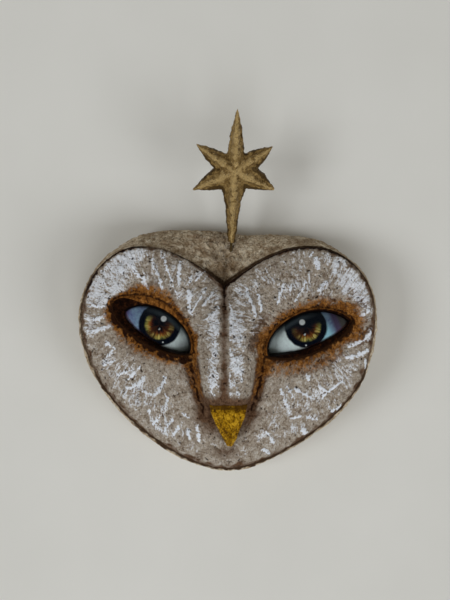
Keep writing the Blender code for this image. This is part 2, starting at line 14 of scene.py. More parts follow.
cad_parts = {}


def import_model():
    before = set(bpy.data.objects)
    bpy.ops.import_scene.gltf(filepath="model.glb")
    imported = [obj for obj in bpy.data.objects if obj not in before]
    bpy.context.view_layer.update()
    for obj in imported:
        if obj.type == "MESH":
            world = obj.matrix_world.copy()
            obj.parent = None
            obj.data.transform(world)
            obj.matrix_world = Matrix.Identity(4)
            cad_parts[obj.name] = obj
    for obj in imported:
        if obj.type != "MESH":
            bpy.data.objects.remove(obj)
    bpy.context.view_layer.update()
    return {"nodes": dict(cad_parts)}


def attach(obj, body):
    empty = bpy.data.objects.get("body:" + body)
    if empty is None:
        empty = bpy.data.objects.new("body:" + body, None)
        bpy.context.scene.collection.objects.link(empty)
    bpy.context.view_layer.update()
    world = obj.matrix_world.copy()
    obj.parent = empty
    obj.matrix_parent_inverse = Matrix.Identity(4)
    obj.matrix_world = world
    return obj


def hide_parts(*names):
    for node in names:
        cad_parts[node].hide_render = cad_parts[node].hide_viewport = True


MM = 0.001
LEFT, RIGHT = -1, 1
SIDES = ((LEFT, "left"), (RIGHT, "right"))

# The outlines and relief that the solids follow, as (x, z).
SEAM_X = -1.3
NOTCH, CHIN = (SEAM_X, 19.7), (SEAM_X, -36.2)
CROWN, THROAT = (SEAM_X, 36.6), (SEAM_X, -38.5)
FACE_EDGE = {
    RIGHT: [(4.5, 23.8), (12, 28.3), (20.5, 31.1), (29.5, 30.9), (37.5, 26.8), (43, 19.5),
            (45, 10), (43.5, -1), (39, -12), (31, -21), (19.5, -29.2), (8, -34.6)],
    LEFT: [(-7, 24.3), (-14.5, 28.7), (-22.5, 31.4), (-31, 31.2), (-38.5, 26.5), (-43.3, 19),
           (-45, 10), (-43.6, 0.5), (-39, -9.8), (-31.5, -19.4), (-21.5, -27.8), (-11, -33.8)],
}
BACK_EDGE = {
    RIGHT: [(5.5, 35.8), (13, 35.8), (20.5, 35.4), (28.5, 34), (37.5, 28.6), (44, 21.5),
            (46.9, 10), (45.4, -1.5), (41, -13), (32.5, -22.8), (20.5, -31.2), (8.5, -37)],
    LEFT: [(-8, 37.1), (-16, 37.4), (-23.5, 36.7), (-31, 34.2), (-39.2, 28.4), (-45, 19.8),
           (-47.1, 10), (-45.8, 0), (-41, -11), (-33, -21.2), (-22.5, -30.2), (-11.5, -36)],
}
SHELL_FRONT, LOBE_BACK = 16.7, 17.0
SHELL_OUTSIDE = [(0, 0, 2.4), (1.2, 0, 0.9), (3.5, 0, 0.15), (6.5, 0, 0), (9.5, 0.14, 0),
                 (12, 0.36, 0), (14.2, 0.62, 0), (15.8, 0.85, -0.1), (SHELL_FRONT, 1, -0.3)]
SHELL_WALL = 4.4
FACE_EDGE_DEPTH, FACE_BULGE, BULGE_POWER = 20.5, 5.5, 2.4
EDGE_ROUNDING = 2.2
RIDGE_X = -0.4
RIDGE_HEIGHT, RIDGE_TOP, RIDGE_CREST, RIDGE_FOOT = 7.0, 21, -9, -17.2
RIDGE_HALF_WIDTHS = [RIDGE_FOOT, -15, -10, 0, RIDGE_TOP], [5.7, 6.7, 7.8, 9.2, 10.5]
CREASE_ACROSS, CREASE_WIDTH = 1.24, 0.2
EYE_CENTRE = {LEFT: (-23.3, 6.7), RIGHT: (24.4, 3.8)}
EYE_SLOPE = {LEFT: math.radians(32.5), RIGHT: math.radians(22)}
# Almonds in an eye's plane: middle, half length, rise, drop, and how each side closes to its corners.
ABOVE = {LEFT: (1.2, 1.25), RIGHT: (1.05, 1.5)}
BELOW = (1.35, 1.1)
LID_OUTSIDE = {side: (0, 14.1, 8.3, 4.8, ABOVE[side], BELOW) for side in (LEFT, RIGHT)}
LID_EDGE = {side: (0, 14.6, 8.8, 5.4, ABOVE[side], BELOW) for side in (LEFT, RIGHT)}
LID_INSIDE = {
    LEFT: (2.0, 11.2, 6.3, 3.2, ABOVE[LEFT], (1.9, 0.9)),
    RIGHT: (0.2, 12.8, 7.3, 2.6, ABOVE[RIGHT], (2.6, 0.9)),
}
GLASS_HALF_LENGTH, GLASS_HALF_HEIGHT, GLASS_RISE = 15.0, 10.0, 2.0
GLASS_BACK, GLASS_GIRDLE, GLASS_DOME = 17.6, 1.2, 4.3
PRINT_RISE, PRINT_BELOW, PRINT_INSIDE = 0.1, 0.7, 0.3
# Where each iris is centred, in its eye's plane.
IRIS = {LEFT: (1.55, 2.2), RIGHT: (-0.3, 3.4)}
# The glints of each iris: place from its centre as (x, z), radius, brightness.
GLINTS = {
    LEFT: ((1.22, 1.8, 0.86, 0.95), (-0.15, -1.25, 0.34, 0.6), (0.95, -5.3, 0.23, 0.8)),
    RIGHT: ((-1.15, 1.4, 0.86, 0.95), (-0.41, -2.23, 0.36, 0.85), (0.05, -5.6, 0.26, 0.75)),
}
# A lid's section from the glass outwards: (share of its width, share of its climb).
LID_PROFILES = {
    "upper": [(0, 0.05), (0, 0.35), (0.08, 0.62), (0.2, 0.84), (0.35, 0.97), (0.5, 1), (0.66, 0.93),
              (0.82, 0.7), (1, 0.3)],
    "lower": [(0, 0.05), (0.03, 0.22), (0.14, 0.42), (0.28, 0.62), (0.42, 0.8), (0.56, 0.95), (0.7, 1),
              (0.86, 0.8), (1, 0.3)],
}
LID_STEPS = 110

# The star leans a little to the right and well forwards, from where its pin enters the crown.
STAR_FOOT = (0.8, 12.4, 31.2)
STAR_LEAN, STAR_PITCH = math.radians(2.5), math.radians(20)
STAR_CENTRE_RISE = 25.2
STAR_RAYS = [(90, 18.9), (34, 13.4), (-25, 13.6), (-90, 23.0), (-151, 14.2), (-211, 13.9)]

# The grid that a solid is refined to, and how far back and up the beak's top is tucked.
VOXEL = 0.2
BEAK_TUCK = (0, 1.9, 0.9)
FAR = 1e9

WALL_GAP, WALL_UNDER_RIM, WALL_REACH = 0.2, 2.7, 3000
# Lamps in metres and watts: name, position, size, power, colour. The last two light the back.
LAMP_AIM = (0, 0, 0.01)
FRONT_COLOUR = (0.985, 1, 1.015)
LAMPS = [
    ("low_left", (-1.56, -1.77, -0.39), 0.95, 18.9, FRONT_COLOUR),
    ("low_right", (1.56, -1.53, -0.99), 1.1, 15.8, FRONT_COLOUR),
    ("low_front", (0.1, -1.7, -1.25), 1.1, 10.2, FRONT_COLOUR),
    ("behind_left", (-1.5, 1.6, 0.9), 1.2, 26, (1, 1, 1)),
    ("behind_right", (1.2, 1.5, 1.3), 1.2, 18, (1, 1, 1)),
]

ROOM_COLOUR, ROOM_STRENGTH = (1.0, 0.93, 0.81, 1), 0.198
# The camera's place in metres and its lens in millimetres.
CAMERA_PLACE, CAMERA_LENS = (-0.00106, -0.3705, 0.0152), 69.1

# Raised strokes of white paint by their width: the points that each runs through as (x, z).
STROKES = {
    0.5: [((-2.9, 12.8), (-5.2, 10.4), (-7.9, 8.9))],
    0.55: [((-19.8, 27.9), (-17.8, 22.7), (-15.7, 17.3))],
    0.6: [((-30.4, 29.4), (-29.8, 28.1)), ((-6.7, 18.8), (-10.9, 11.6)), ((-4.7, 17.3), (-7.6, 13.4)),
          ((-7.3, 23.9), (-9.7, 21.2)), ((-34.3, 0.6), (-37.0, -2.2)), ((-37.7, -4.4), (-34.3, -3.2)),
          ((-33.9, -7.5), (-29.3, -6.0)), ((-29.9, -8.4), (-26.8, -5.0)), ((-20.9, -20.2), (-22.8, -22.4)),
          ((-13.8, -19.0), (-11.6, -20.5)), ((18.8, 19.7), (18.5, 18.1)),
          ((23.1, 20.6), (22.5, 18.8), (20.0, 15.0)), ((25.6, 29.6), (24.4, 28.4)),
          ((41.4, -2.9), (41.6, -5.3))],
    0.65: [((-23.1, 27.6), (-22.5, 24.5), (-20.8, 22.4), (-20.1, 17.9))],
    0.7: [((-11.2, 22.4), (-12.1, 19.7)), ((-26.5, -12.2), (-23.4, -13.1)),
          ((-19.1, -13.1), (-18.1, -14.3), (-19.1, -17.4)), ((9.0, 16.9), (9.8, 11.9)),
          ((0.4, 14.1), (1.3, 11.6), (0.6, 9.2)), ((17.6, -10.9), (19.4, -13.7)),
          ((30.0, -12.5), (34.0, -9.7)), ((15.7, -11.8), (16.6, -14.3), (17.6, -16.8), (18.2, -19.0)),
          ((23.8, -20.2), (26.5, -20.8))],
    0.8: [((-29.4, 26.3), (-27.0, 22.1)), ((-41.6, 13.7), (-36.0, 13.1)), ((-16.9, -20.8), (-19.7, -24.6)),
          ((-14.1, -21.8), (-16.6, -25.8)), ((-9.4, -22.4), (-8.8, -27.7)),
          ((5.1, 19.1), (7.3, 13.2), (8.2, 10.4)), ((16.6, 20.0), (14.5, 14.1)),
          ((27.5, -11.2), (29.7, -12.5), (28.4, -14.3)), ((18.8, -20.5), (21.9, -19.9)),
          ((31.2, -18.4), (34.3, -16.8)), ((11.3, -24.3), (13.8, -28.0)), ((10.4, -29.8), (12.0, -31.4))],
    0.9: [((-14.8, 26.7), (-15.1, 20.0)), ((-30.5, -11.4), (-26.8, -10.3), (-25.3, -8.1)),
          ((-12.5, -23.3), (-11.6, -26.7)), ((43.2, 12.6), (41.4, 11.3), (39.0, 8.8)),
          ((20.0, -11.5), (21.9, -12.5), (25.6, -14.6))],
    1.0: [((-11.8, 14.5), (-11.4, 11.3)), ((-41.6, 5.4), (-36.0, 7.3)),
          ((-22.2, -13.4), (-20.0, -10.6), (-19.1, -8.1)), ((29.6, 20.6), (27.2, 18.1)),
          ((43.3, 5.4), (40.8, 2.9), (36.5, 1.4))],
    1.1: [((-25.5, 21.8), (-24.9, 17.6)), ((-40.7, 9.2), (-35.8, 11.0)), ((-24.0, -18.0), (-23.9, -18.8)),
          ((32.8, 26.2), (32.1, 23.4)), ((42.4, -0.2), (39.3, -1.4), (35.5, -2.3))],
    1.3: [((23.6, -7.7), (24.1, -8.5))],
    1.5: [((-11.8, 17.8), (-11.8, 14.5)), ((22.4, -23.7), (23.2, -25.0))],
    1.6: [((26.4, 27.6), (27.2, 24.6))],
    1.7: [((-36.6, 2.0), (-36.2, 1.6))],
    1.9: [((-32.5, 25.2), (-32.3, 24.0))],
}


def ease(value, low, high):
    """0 at low, 1 at high, eased between; low may be the larger."""
    t = np.clip((value - low) / (high - low), 0, 1)
    return t * t * (3 - 2 * t)


def bell(*terms):
    """1 where every term is 0, falling to nothing around it."""
    return np.exp(-sum(term ** 2 for term in terms))


def full_turn(count):
    return np.linspace(0, 2 * math.pi, count, endpoint=False)


def curve_through(points, before, after, steps):
    """Catmull-Rom through the points, with a phantom point at each end; the last point is left out."""
    knots = np.array([before, *points, after], float)
    made = []
    for p0, p1, p2, p3 in zip(knots, knots[1:], knots[2:], knots[3:]):
        for t in np.arange(steps) / steps:
            made.append(0.5 * (2 * p1 + (p2 - p0) * t + (2 * p0 - 5 * p1 + 4 * p2 - p3) * t ** 2
                               + (3 * p1 - p0 - 3 * p2 + p3) * t ** 3))
    return np.array(made)


def half_edge(edge, side, top, bottom, sharp_top, steps):
    """One half of an outline, from its top point down to just before its bottom point."""
    other = edge[-side]
    points = [top, *edge[side], bottom]
    before = 2 * np.array(top) - np.array(points[1]) if sharp_top else other[0]
    return curve_through(points, before, other[-1], steps)


def ring_of(edge, top, bottom, sharp_top, steps=28):
    """The whole outline: down the right half, then up the left."""
    right = half_edge(edge, RIGHT, top, bottom, sharp_top, steps)
    left = half_edge(edge, LEFT, top, bottom, sharp_top, steps)
    return np.vstack([right, [bottom], left[:0:-1]])


FACE_RING = ring_of(FACE_EDGE, NOTCH, CHIN, True)
BACK_RING = ring_of(BACK_EDGE, CROWN, THROAT, False)
FACE_ANGLES = np.arctan2(FACE_RING[:, 1], FACE_RING[:, 0])
FACE_RADII = np.hypot(*FACE_RING.T)


def face_radius(angle):
    order = np.argsort(FACE_ANGLES)
    return np.interp(angle, FACE_ANGLES[order], FACE_RADII[order], period=2 * math.pi)


def eye_to_head(side, u, v):
    """A point in the eye's plane, u towards the nose and v up, as the head's (x, z)."""
    centre_x, centre_z = EYE_CENTRE[side]
    cos, sin = math.cos(EYE_SLOPE[side]), math.sin(EYE_SLOPE[side])
    return centre_x - side * (u * cos + v * sin), centre_z - u * sin + v * cos


def head_to_eye(side, x, z):
    centre_x, centre_z = EYE_CENTRE[side]
    cos, sin = math.cos(EYE_SLOPE[side]), math.sin(EYE_SLOPE[side])
    across, up = -side * (x - centre_x), z - centre_z
    return across * cos - up * sin, across * sin + up * cos


def almond(shape, turn):
    middle, half_length, rise, drop, above, below = shape
    sine, cosine = np.sin(turn), np.cos(turn)
    towards_nose = cosine > 0
    power = np.where(sine > 0, np.where(towards_nose, *above), np.where(towards_nose, *below))
    height = np.where(sine > 0, rise, drop) * np.abs(sine) ** power * np.sign(sine)
    return middle + half_length * cosine, height


def dome_depth(side, x, z):
    u, v = head_to_eye(side, x, z)
    inside = 1 - (u / GLASS_HALF_LENGTH) ** 2 - ((v - GLASS_RISE) / GLASS_HALF_HEIGHT) ** 2
    return GLASS_BACK + GLASS_GIRDLE + GLASS_DOME * np.sqrt(np.maximum(inside, 0))


def ridge_across(x, z):
    """How far across the nose ridge a point is: 0 on its crest, 1 half-way down the flank."""
    return np.abs(x - RIDGE_X) / np.interp(z, *RIDGE_HALF_WIDTHS)


def ridge_relief(x, z):
    along = ease(z, RIDGE_TOP, RIDGE_CREST) * ease(z, RIDGE_FOOT, RIDGE_FOOT + 1.8)
    across = ridge_across(x, z)
    ridge = RIDGE_HEIGHT * along / (1 + across ** 6)
    crease = ease(z, 7, -4) * bell((across - CREASE_ACROSS) / CREASE_WIDTH)
    groove = (0.45 + 0.55 * ease(z, 4, 12)) * bell((x - SEAM_X) / 0.9)
    return ridge - groove - crease * ease(z, RIDGE_FOOT - 2, RIDGE_FOOT + 2)


def face_depth(x, z):
    """The depth of the face's front surface, as the solids have it."""
    radius = face_radius(np.arctan2(z, x))
    share = np.minimum(np.hypot(x, z) / radius, 1)
    from_edge = np.minimum((1 - share) * radius, EDGE_ROUNDING)
    rounding = EDGE_ROUNDING - np.sqrt(EDGE_ROUNDING ** 2 - (EDGE_ROUNDING - from_edge) ** 2)
    depth = FACE_EDGE_DEPTH + FACE_BULGE * (1 - share ** BULGE_POWER) - rounding
    depth = depth + ridge_relief(x, z)
    depth -= 1.2 * bell((x - SEAM_X) / 8, (z + 23) / 7)
    for side in (LEFT, RIGHT):
        u, v = head_to_eye(side, x, z)
        reach = np.hypot(u / 17, (v - 1.5) / 10)
        depth -= 0.8 * bell(np.maximum(reach - 0.6, 0) / 0.35)
        near = np.hypot(u / (GLASS_HALF_LENGTH + 1.5), (v - GLASS_RISE) / (GLASS_HALF_HEIGHT + 1.5))
        floor = dome_depth(side, x, z) + 1.4
        depth = depth + ease(near, 1.1, 0.9) * np.maximum(floor - depth, 0)
    return depth


# ---------------------------------------------------------------- meshes

def build_mesh(name, rows, closed_rows):
    """A mesh through rows of (x, depth, z) rings; the last row joins the first, or both are capped."""
    count = len(rows[0])
    world = np.concatenate(rows) * (1, -1, 1) * MM
    last = len(rows) if closed_rows else len(rows) - 1
    i = np.arange(last)[:, None] * count
    k = ((np.arange(last) + 1) % len(rows))[:, None] * count
    j = np.arange(count)[None]
    n = (j + 1) % count
    quads = np.stack([i + j, i + n, k + n, k + j], -1).reshape(-1, 4).tolist()
    if not closed_rows:
        quads.append(list(range(count))[::-1])
        quads.append(list(range((len(rows) - 1) * count, len(rows) * count)))
    mesh = bpy.data.meshes.new(name)
    mesh.from_pydata(world.tolist(), [], quads)
    bm = bmesh.new()
    bm.from_mesh(mesh)
    bmesh.ops.recalc_face_normals(bm, faces=bm.faces)
    bm.to_mesh(mesh)
    bm.free()
    return mesh


def ring_at(flat, depth):
    """Points of (x, z) as (x, depth, z), with one depth for all or one for each."""
    return np.column_stack([flat[:, 0], np.broadcast_to(depth, len(flat)), flat[:, 1]])


def shrunk(ring, inset):
    """An outline brought in towards the origin by that much."""
    radii = np.hypot(*ring.T)[:, None]
    return ring * (radii - inset) / radii


def coordinates(mesh):
    flat = np.zeros(len(mesh.vertices) * 3)
    mesh.vertices.foreach_get("co", flat)
    return flat.reshape(-1, 3)


def in_mm(mesh):
    """The vertices as rows of x, depth and z in millimetres."""
    return coordinates(mesh) / MM * (1, -1, 1)


def move_to(mesh, co):
    mesh.vertices.foreach_set("co", co.ravel())
    mesh.update()


def push(mesh, distance):
    """Moves each vertex along its normal by that many millimetres."""
    normals = np.zeros(len(mesh.vertices) * 3)
    mesh.vertex_normals.foreach_get("vector", normals)
    move_to(mesh, coordinates(mesh) + normals.reshape(-1, 3) * (distance * MM)[:, None])


def attribute(mesh, name, values):
    layer = mesh.attributes.new(name, "FLOAT", "POINT")
    layer.data.foreach_set("value", np.asarray(values, np.float32))


def grain(points, size, seed, octaves=2):
    """Fractal noise of about -1 to 1 at (n, 3) points in mm, with features of that size."""
    scaled = points / size + np.array([seed * 7.31, seed * 3.17, seed * 11.9])
    return np.array([noise.fractal(p, 1.0, 2.0, octaves) for p in scaled.tolist()])


def new_object(name, data):
    obj = bpy.data.objects.new(name, data)
    bpy.context.scene.collection.objects.link(obj)
    return obj


def add_piece(name, mesh, material, slot, *nodes, body="head"):
    """Puts a finished mesh in the scene in place of those solids."""
    mesh.materials.append(material)
    mesh.shade_smooth()
    obj = new_object(name, mesh)
    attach(obj, body)
    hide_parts(*nodes)


# ---------------------------------------------------------------- paint

class Paint:
    """One material and short ways to add to its node tree. Lengths in it are millimetres."""

    def __init__(self, name):
        self.material = bpy.data.materials.new(name)
        self.material.use_nodes = True
        self.tree = self.material.node_tree
        self.shader = self.tree.nodes["Principled BSDF"]
        source = self.add("TexCoord").outputs["Object"]
        scaled = self.add("VectorMath", {"operation": "SCALE"}, {0: source, "Scale": 1 / MM})
        self.where = scaled.outputs[0]

    def add(self, kind, settings=None, inputs=None):
        node = self.tree.nodes.new("ShaderNode" + kind)
        for key, value in (settings or {}).items():
            setattr(node, key, value)
        for key, value in (inputs or {}).items():
            self.feed(node.inputs[key], value)
        return node

    def feed(self, socket, value):
        if isinstance(value, bpy.types.NodeSocket):
            self.tree.links.new(value, socket)
        else:
            socket.default_value = value

    def coat(self, colour, roughness, specular=0.5, metallic=0.0, sheen=0.0):
        names = ("Base Color", "Roughness", "Specular IOR Level", "Metallic", "Sheen Weight")
        for name, value in zip(names, (colour, roughness, specular, metallic, sheen)):
            self.feed(self.shader.inputs[name], value)
        return self

    def math(self, operation, a, b=0.0):
        return self.add("Math", {"operation": operation}, {0: a, 1: b}).outputs[0]

    def plus(self, a, *terms):
        for term in terms:
            a = self.math("ADD", a, term)
        return a

    def minus(self, a, b):
        return self.math("SUBTRACT", a, b)

    def times(self, a, b):
        return self.math("MULTIPLY", a, b)

    def length(self, a, b):
        return self.math("SQRT", self.plus(self.times(a, a), self.times(b, b)))

    def offset(self, x, z):
        """How far across and up each point lies from that one."""
        place = self.add("SeparateXYZ", None, {0: self.where}).outputs
        return self.minus(place["X"], x), self.minus(place["Z"], z)

    def mask(self, name):
        return self.add("Attribute", {"attribute_name": name}).outputs["Fac"]

    def noise(self, size, detail=3.0, roughness=0.55, stretch=None, distortion=0.0):
        where = self.where
        if stretch:
            where = self.add("VectorMath", {"operation": "MULTIPLY"}, {0: where, 1: stretch}).outputs[0]
        node = self.add("TexNoise", None, {"Vector": where, "Scale": 1 / size, "Detail": detail,
                                           "Roughness": roughness, "Distortion": distortion})
        return node.outputs["Fac"]

    def fibres(self, dx, dz, along, count, detail=3.0, distortion=0.0):
        """Noise in rays from the point that dx and dz are measured from; along says how it changes."""
        radius = self.length(dx, dz)
        place = self.add("CombineXYZ", None, {0: self.math("DIVIDE", dx, radius),
                                              1: self.math("DIVIDE", dz, radius), 2: along})
        node = self.add("TexNoise", None, {"Vector": place.outputs[0], "Scale": count, "Detail": detail,
                                           "Roughness": 0.6, "Distortion": distortion})
        return node.outputs["Fac"]

    def step(self, value, low, high):
        return self.add("MapRange", {"interpolation_type": "SMOOTHSTEP"},
                        {"Value": value, "From Min": low, "From Max": high}).outputs[0]

    def mix(self, share, a, b):
        node = self.add("Mix", {"data_type": "RGBA"})
        for index, value in ((0, share), (6, a), (7, b)):
            self.feed(node.inputs[index], (*value, 1) if isinstance(value, tuple) else value)
        return node.outputs[2]

    def layers(self, colour, *layers):
        """Lays further colours over the first, each as (where, colour)."""
        for where, paint in layers:
            colour = self.mix(where, colour, paint)
        return colour

    def between(self, front, back, share):
        """Shows one shader node, and the other by that share."""
        both = self.add("MixShader", None, {0: share, 1: front.outputs[0], 2: back.outputs[0]})
        self.feed(self.tree.nodes["Material Output"].inputs["Surface"], both.outputs[0])
        return self.material

    def blend(self, a, b, share):
        """A sum of two textures, with that share of the second."""
        return self.plus(self.times(a, 1 - share), self.times(b, share))

    def veins(self, size, width, stretch=None):
        """Thin wandering lines, as wide as that part of the texture's range."""
        away = self.math("ABSOLUTE", self.minus(self.noise(size, 3, 0.6, stretch, 1.2), 0.5))
        return self.step(away, width, width * 0.25)

    def ramp(self, value, stops):
        node = self.add("ValToRGB", None, {"Fac": value})
        while len(node.color_ramp.elements) < len(stops):
            node.color_ramp.elements.new(0.5)
        for element, (place, colour) in zip(node.color_ramp.elements, stops):
            element.position = place
            element.color = (*colour, 1)
        return node.outputs["Color"]

    def ragged(self, name, texture, amount, low, high):
        """The mask of that name, its edge broken up by a texture."""
        shift = self.times(self.minus(texture, 0.5), amount)
        return self.step(self.plus(self.mask(name), shift), low, high)

    def bump(self, height, distance, strength=1.0):
        node = self.add("Bump", None, {"Height": height, "Distance": distance * MM, "Strength": strength})
        self.feed(self.shader.inputs["Normal"], node.outputs[0])
        return self.material


def face_paint(side, word):
    """White brushed over pulp washed brown, orange round the eye, near black in the cut edge; the brown,
    orange and black also hold painted shade in the creases, down the ridge's flanks, in the cut, the notch
    and round the beak.
    """
    p = Paint("face_" + word + "_paint")
    fine, mid, broad = p.noise(0.5, 4, 0.7), p.noise(1.5, 3, distortion=0.8), p.noise(7, 2)
    dx, dz = p.offset(*eye_to_head(side, 0, GLASS_RISE))
    reach = p.length(dx, dz)

    def brushed(count, length, seed):
        along = p.plus(p.math("DIVIDE", reach, count * length), seed)
        return p.fibres(dx, dz, along, count, 2.0, 1.0)

    bristles, hairs = brushed(24, 3.2, 0.3), brushed(62, 1.7, 0.7)
    mottle, tufted = p.blend(mid, fine, 0.5), p.blend(fine, hairs, 0.5)
    pulp = p.ramp(mottle, [(0.34, (0.115, 0.078, 0.05)), (0.43, (0.27, 0.222, 0.172)),
                           (0.53, (0.4, 0.358, 0.302)), (0.66, (0.56, 0.535, 0.5))])
    # The colour of the brown layer: a brown wash, which also paints shade.
    stain = p.ramp(mottle, [(0.38, (0.045, 0.02, 0.01)), (0.62, (0.17, 0.1, 0.06))])
    scuff = p.blend(p.blend(bristles, hairs, 0.35), p.blend(fine, mid, 0.35), 0.45)
    scuff = p.plus(scuff, p.times(p.minus(p.mask("dry"), 0.5), 0.34))
    brushed_on = p.math("MAXIMUM", p.times(p.step(scuff, 0.535, 0.635), 0.85),
                        p.ragged("white", tufted, 2.4, 0.36, 0.68))
    white = p.ramp(broad, [(0.3, (0.66, 0.7, 0.765)), (0.7, (0.8, 0.845, 0.92))])
    patchy = p.blend(p.noise(1.7, 3, 0.6), fine, 0.55)
    rust = p.ramp(patchy, [(0.38, (0.03, 0.01, 0.003)), (0.46, (0.12, 0.042, 0.008)),
                           (0.55, (0.255, 0.108, 0.024)), (0.68, (0.43, 0.235, 0.095))])
    colour = p.layers(
        pulp,
        (p.times(p.veins(1.6, 0.026), 0.6), (0.11, 0.066, 0.042)),
        (p.times(p.step(hairs, 0.43, 0.36), 0.45), (0.13, 0.09, 0.062)),
        # Brown: a brown wash, with painted shade in the creases, the pocket round the beak and down the
        # ridge's flanks.
        (p.ragged("brown", tufted, 1.5, 0.2, 0.95), stain),
        (brushed_on, white),
        # Orange round the eyes; down the ridge's flanks and in the creases it is partly painted shade.
        (p.ragged("orange", p.blend(patchy, bristles, 0.25), 2.4, 0.22, 0.8), rust),
        # Near black: dark paint and specks, with painted shade in the cut, the notch, the creases and the
        # pocket round the beak.
        (p.ragged("dark", fine, 1.1, 0.35, 0.8), (0.017, 0.006, 0.003)),
        (p.times(p.step(p.noise(0.8, 2, 0.5), 0.655, 0.7), 0.85), (0.035, 0.02, 0.012)))
    return p.coat(colour, 0.75, specular=0.1).bump(p.blend(mottle, p.blend(bristles, hairs, 0.5), 0.4), 0.3)


def lid_paint():
    p = Paint("lid_paint")
    fine, mid = p.noise(0.5, 4, 0.65), p.noise(1.4, 3)
    mottle = p.blend(mid, fine, 0.5)
    rust = p.ramp(mottle, [(0.38, (0.026, 0.009, 0.003)), (0.47, (0.105, 0.038, 0.008)),
                           (0.56, (0.235, 0.092, 0.018)), (0.66, (0.36, 0.165, 0.05))])
    red = p.ramp(mottle, [(0.42, (0.003, 0.001, 0.0006)), (0.56, (0.016, 0.005, 0.002)),
                          (0.66, (0.07, 0.024, 0.006))])
    colour = p.layers(rust, (p.ragged("inner", fine, 1.0, 0.3, 0.75), red),
                      (p.ragged("outer", fine, 1.8, 0.35, 0.85), (0.02, 0.008, 0.003)),
                      (p.ragged("rim", fine, 0.4, 0.35, 0.65), (0.002, 0.001, 0.001)))
    return p.coat(colour, 0.55, specular=0.06).bump(fine, 0.12, 0.9)


def crown_paint():
    """Bare greige pulp with brown settled in its cracks."""
    p = Paint("crown_paint")
    fine, mid, broad = p.noise(0.6, 4, 0.75), p.noise(2.0, 3, 0.6, distortion=0.6), p.noise(6, 3)
    mottle = p.blend(mid, fine, 0.5)
    pulp = p.ramp(mottle, [(0.36, (0.19, 0.125, 0.066)), (0.44, (0.43, 0.335, 0.225)),
                           (0.53, (0.7, 0.6, 0.45)), (0.62, (0.94, 0.87, 0.72))])
    stain = p.step(p.blend(broad, fine, 0.3), 0.48, 0.6)
    # Dark: the cut by the face, dark paint with painted shade in the groove, with the crown's other darker
    # parts.
    colour = p.layers(pulp, (p.times(stain, 0.55), (0.27, 0.18, 0.1)),
                      (p.times(p.veins(2.2, 0.03), 0.75), (0.13, 0.072, 0.036)),
                      (p.ragged("dark", fine, 0.8, 0.35, 0.75), (0.05, 0.028, 0.015)))
    return p.coat(colour, 0.88, specular=0.08).bump(mottle, 0.34)


def beak_paint():
    p = Paint("beak_paint")
    fine, mid = p.noise(0.5, 4, 0.65), p.noise(2.0, 3)
    ochre = p.ramp(p.blend(mid, fine, 0.4), [(0.39, (0.09, 0.04, 0.002)), (0.48, (0.27, 0.135, 0.004)),
                                             (0.6, (0.54, 0.315, 0.018))])
    streaks = p.times(p.veins(1.3, 0.028, stretch=(1.0, 1.0, 0.5)), p.step(p.noise(2.4, 2), 0.47, 0.55))
    # Dark: scratches, and painted shade low on the sides and on the top under the ridge's end.
    colour = p.layers(ochre, (streaks, (0.03, 0.013, 0.002)),
                      (p.ragged("dark", fine, 0.8, 0.3, 0.85), (0.06, 0.026, 0.003)))
    return p.coat(colour, 0.5, specular=0.06).bump(fine, 0.14)


def gold_paint():
    """Dull bronze-gold, rubbed bright along the ridges, where there is painted highlight and glitter too,
    and dark in the edges and hollows.
    """
    p = Paint("gold_paint")
    fine, mid = p.noise(0.45, 4, 0.75), p.noise(1.8, 3)
    gold = p.ramp(p.blend(mid, fine, 0.55), [(0.36, (0.085, 0.047, 0.013)), (0.5, (0.24, 0.152, 0.052)),
                                             (0.64, (0.43, 0.3, 0.12))])
    # Painted highlight: fine bright glitter on the ridges.
    sparkle = p.times(p.step(p.noise(0.3, 3, 0.7), 0.56, 0.64), p.step(p.mask("crest"), 0.1, 0.7))
    pits = p.step(p.noise(0.45, 2, 0.5), 0.38, 0.33)
    # Brighter along the ridges: rubbed gold and painted highlight.
    colour = p.layers(gold, (p.times(p.ragged("crest", fine, 1.3, 0.35, 0.95), 0.5), (0.6, 0.43, 0.185)),
                      (p.times(sparkle, 0.6), (0.9, 0.72, 0.4)),
                      (p.times(p.ragged("edge", fine, 0.8, 0.35, 0.85), 0.8), (0.04, 0.021, 0.006)),
                      (p.times(pits, 0.7), (0.04, 0.022, 0.007)))
    return p.coat(colour, 0.5, specular=0.25, metallic=0.2).bump(fine, 0.18)


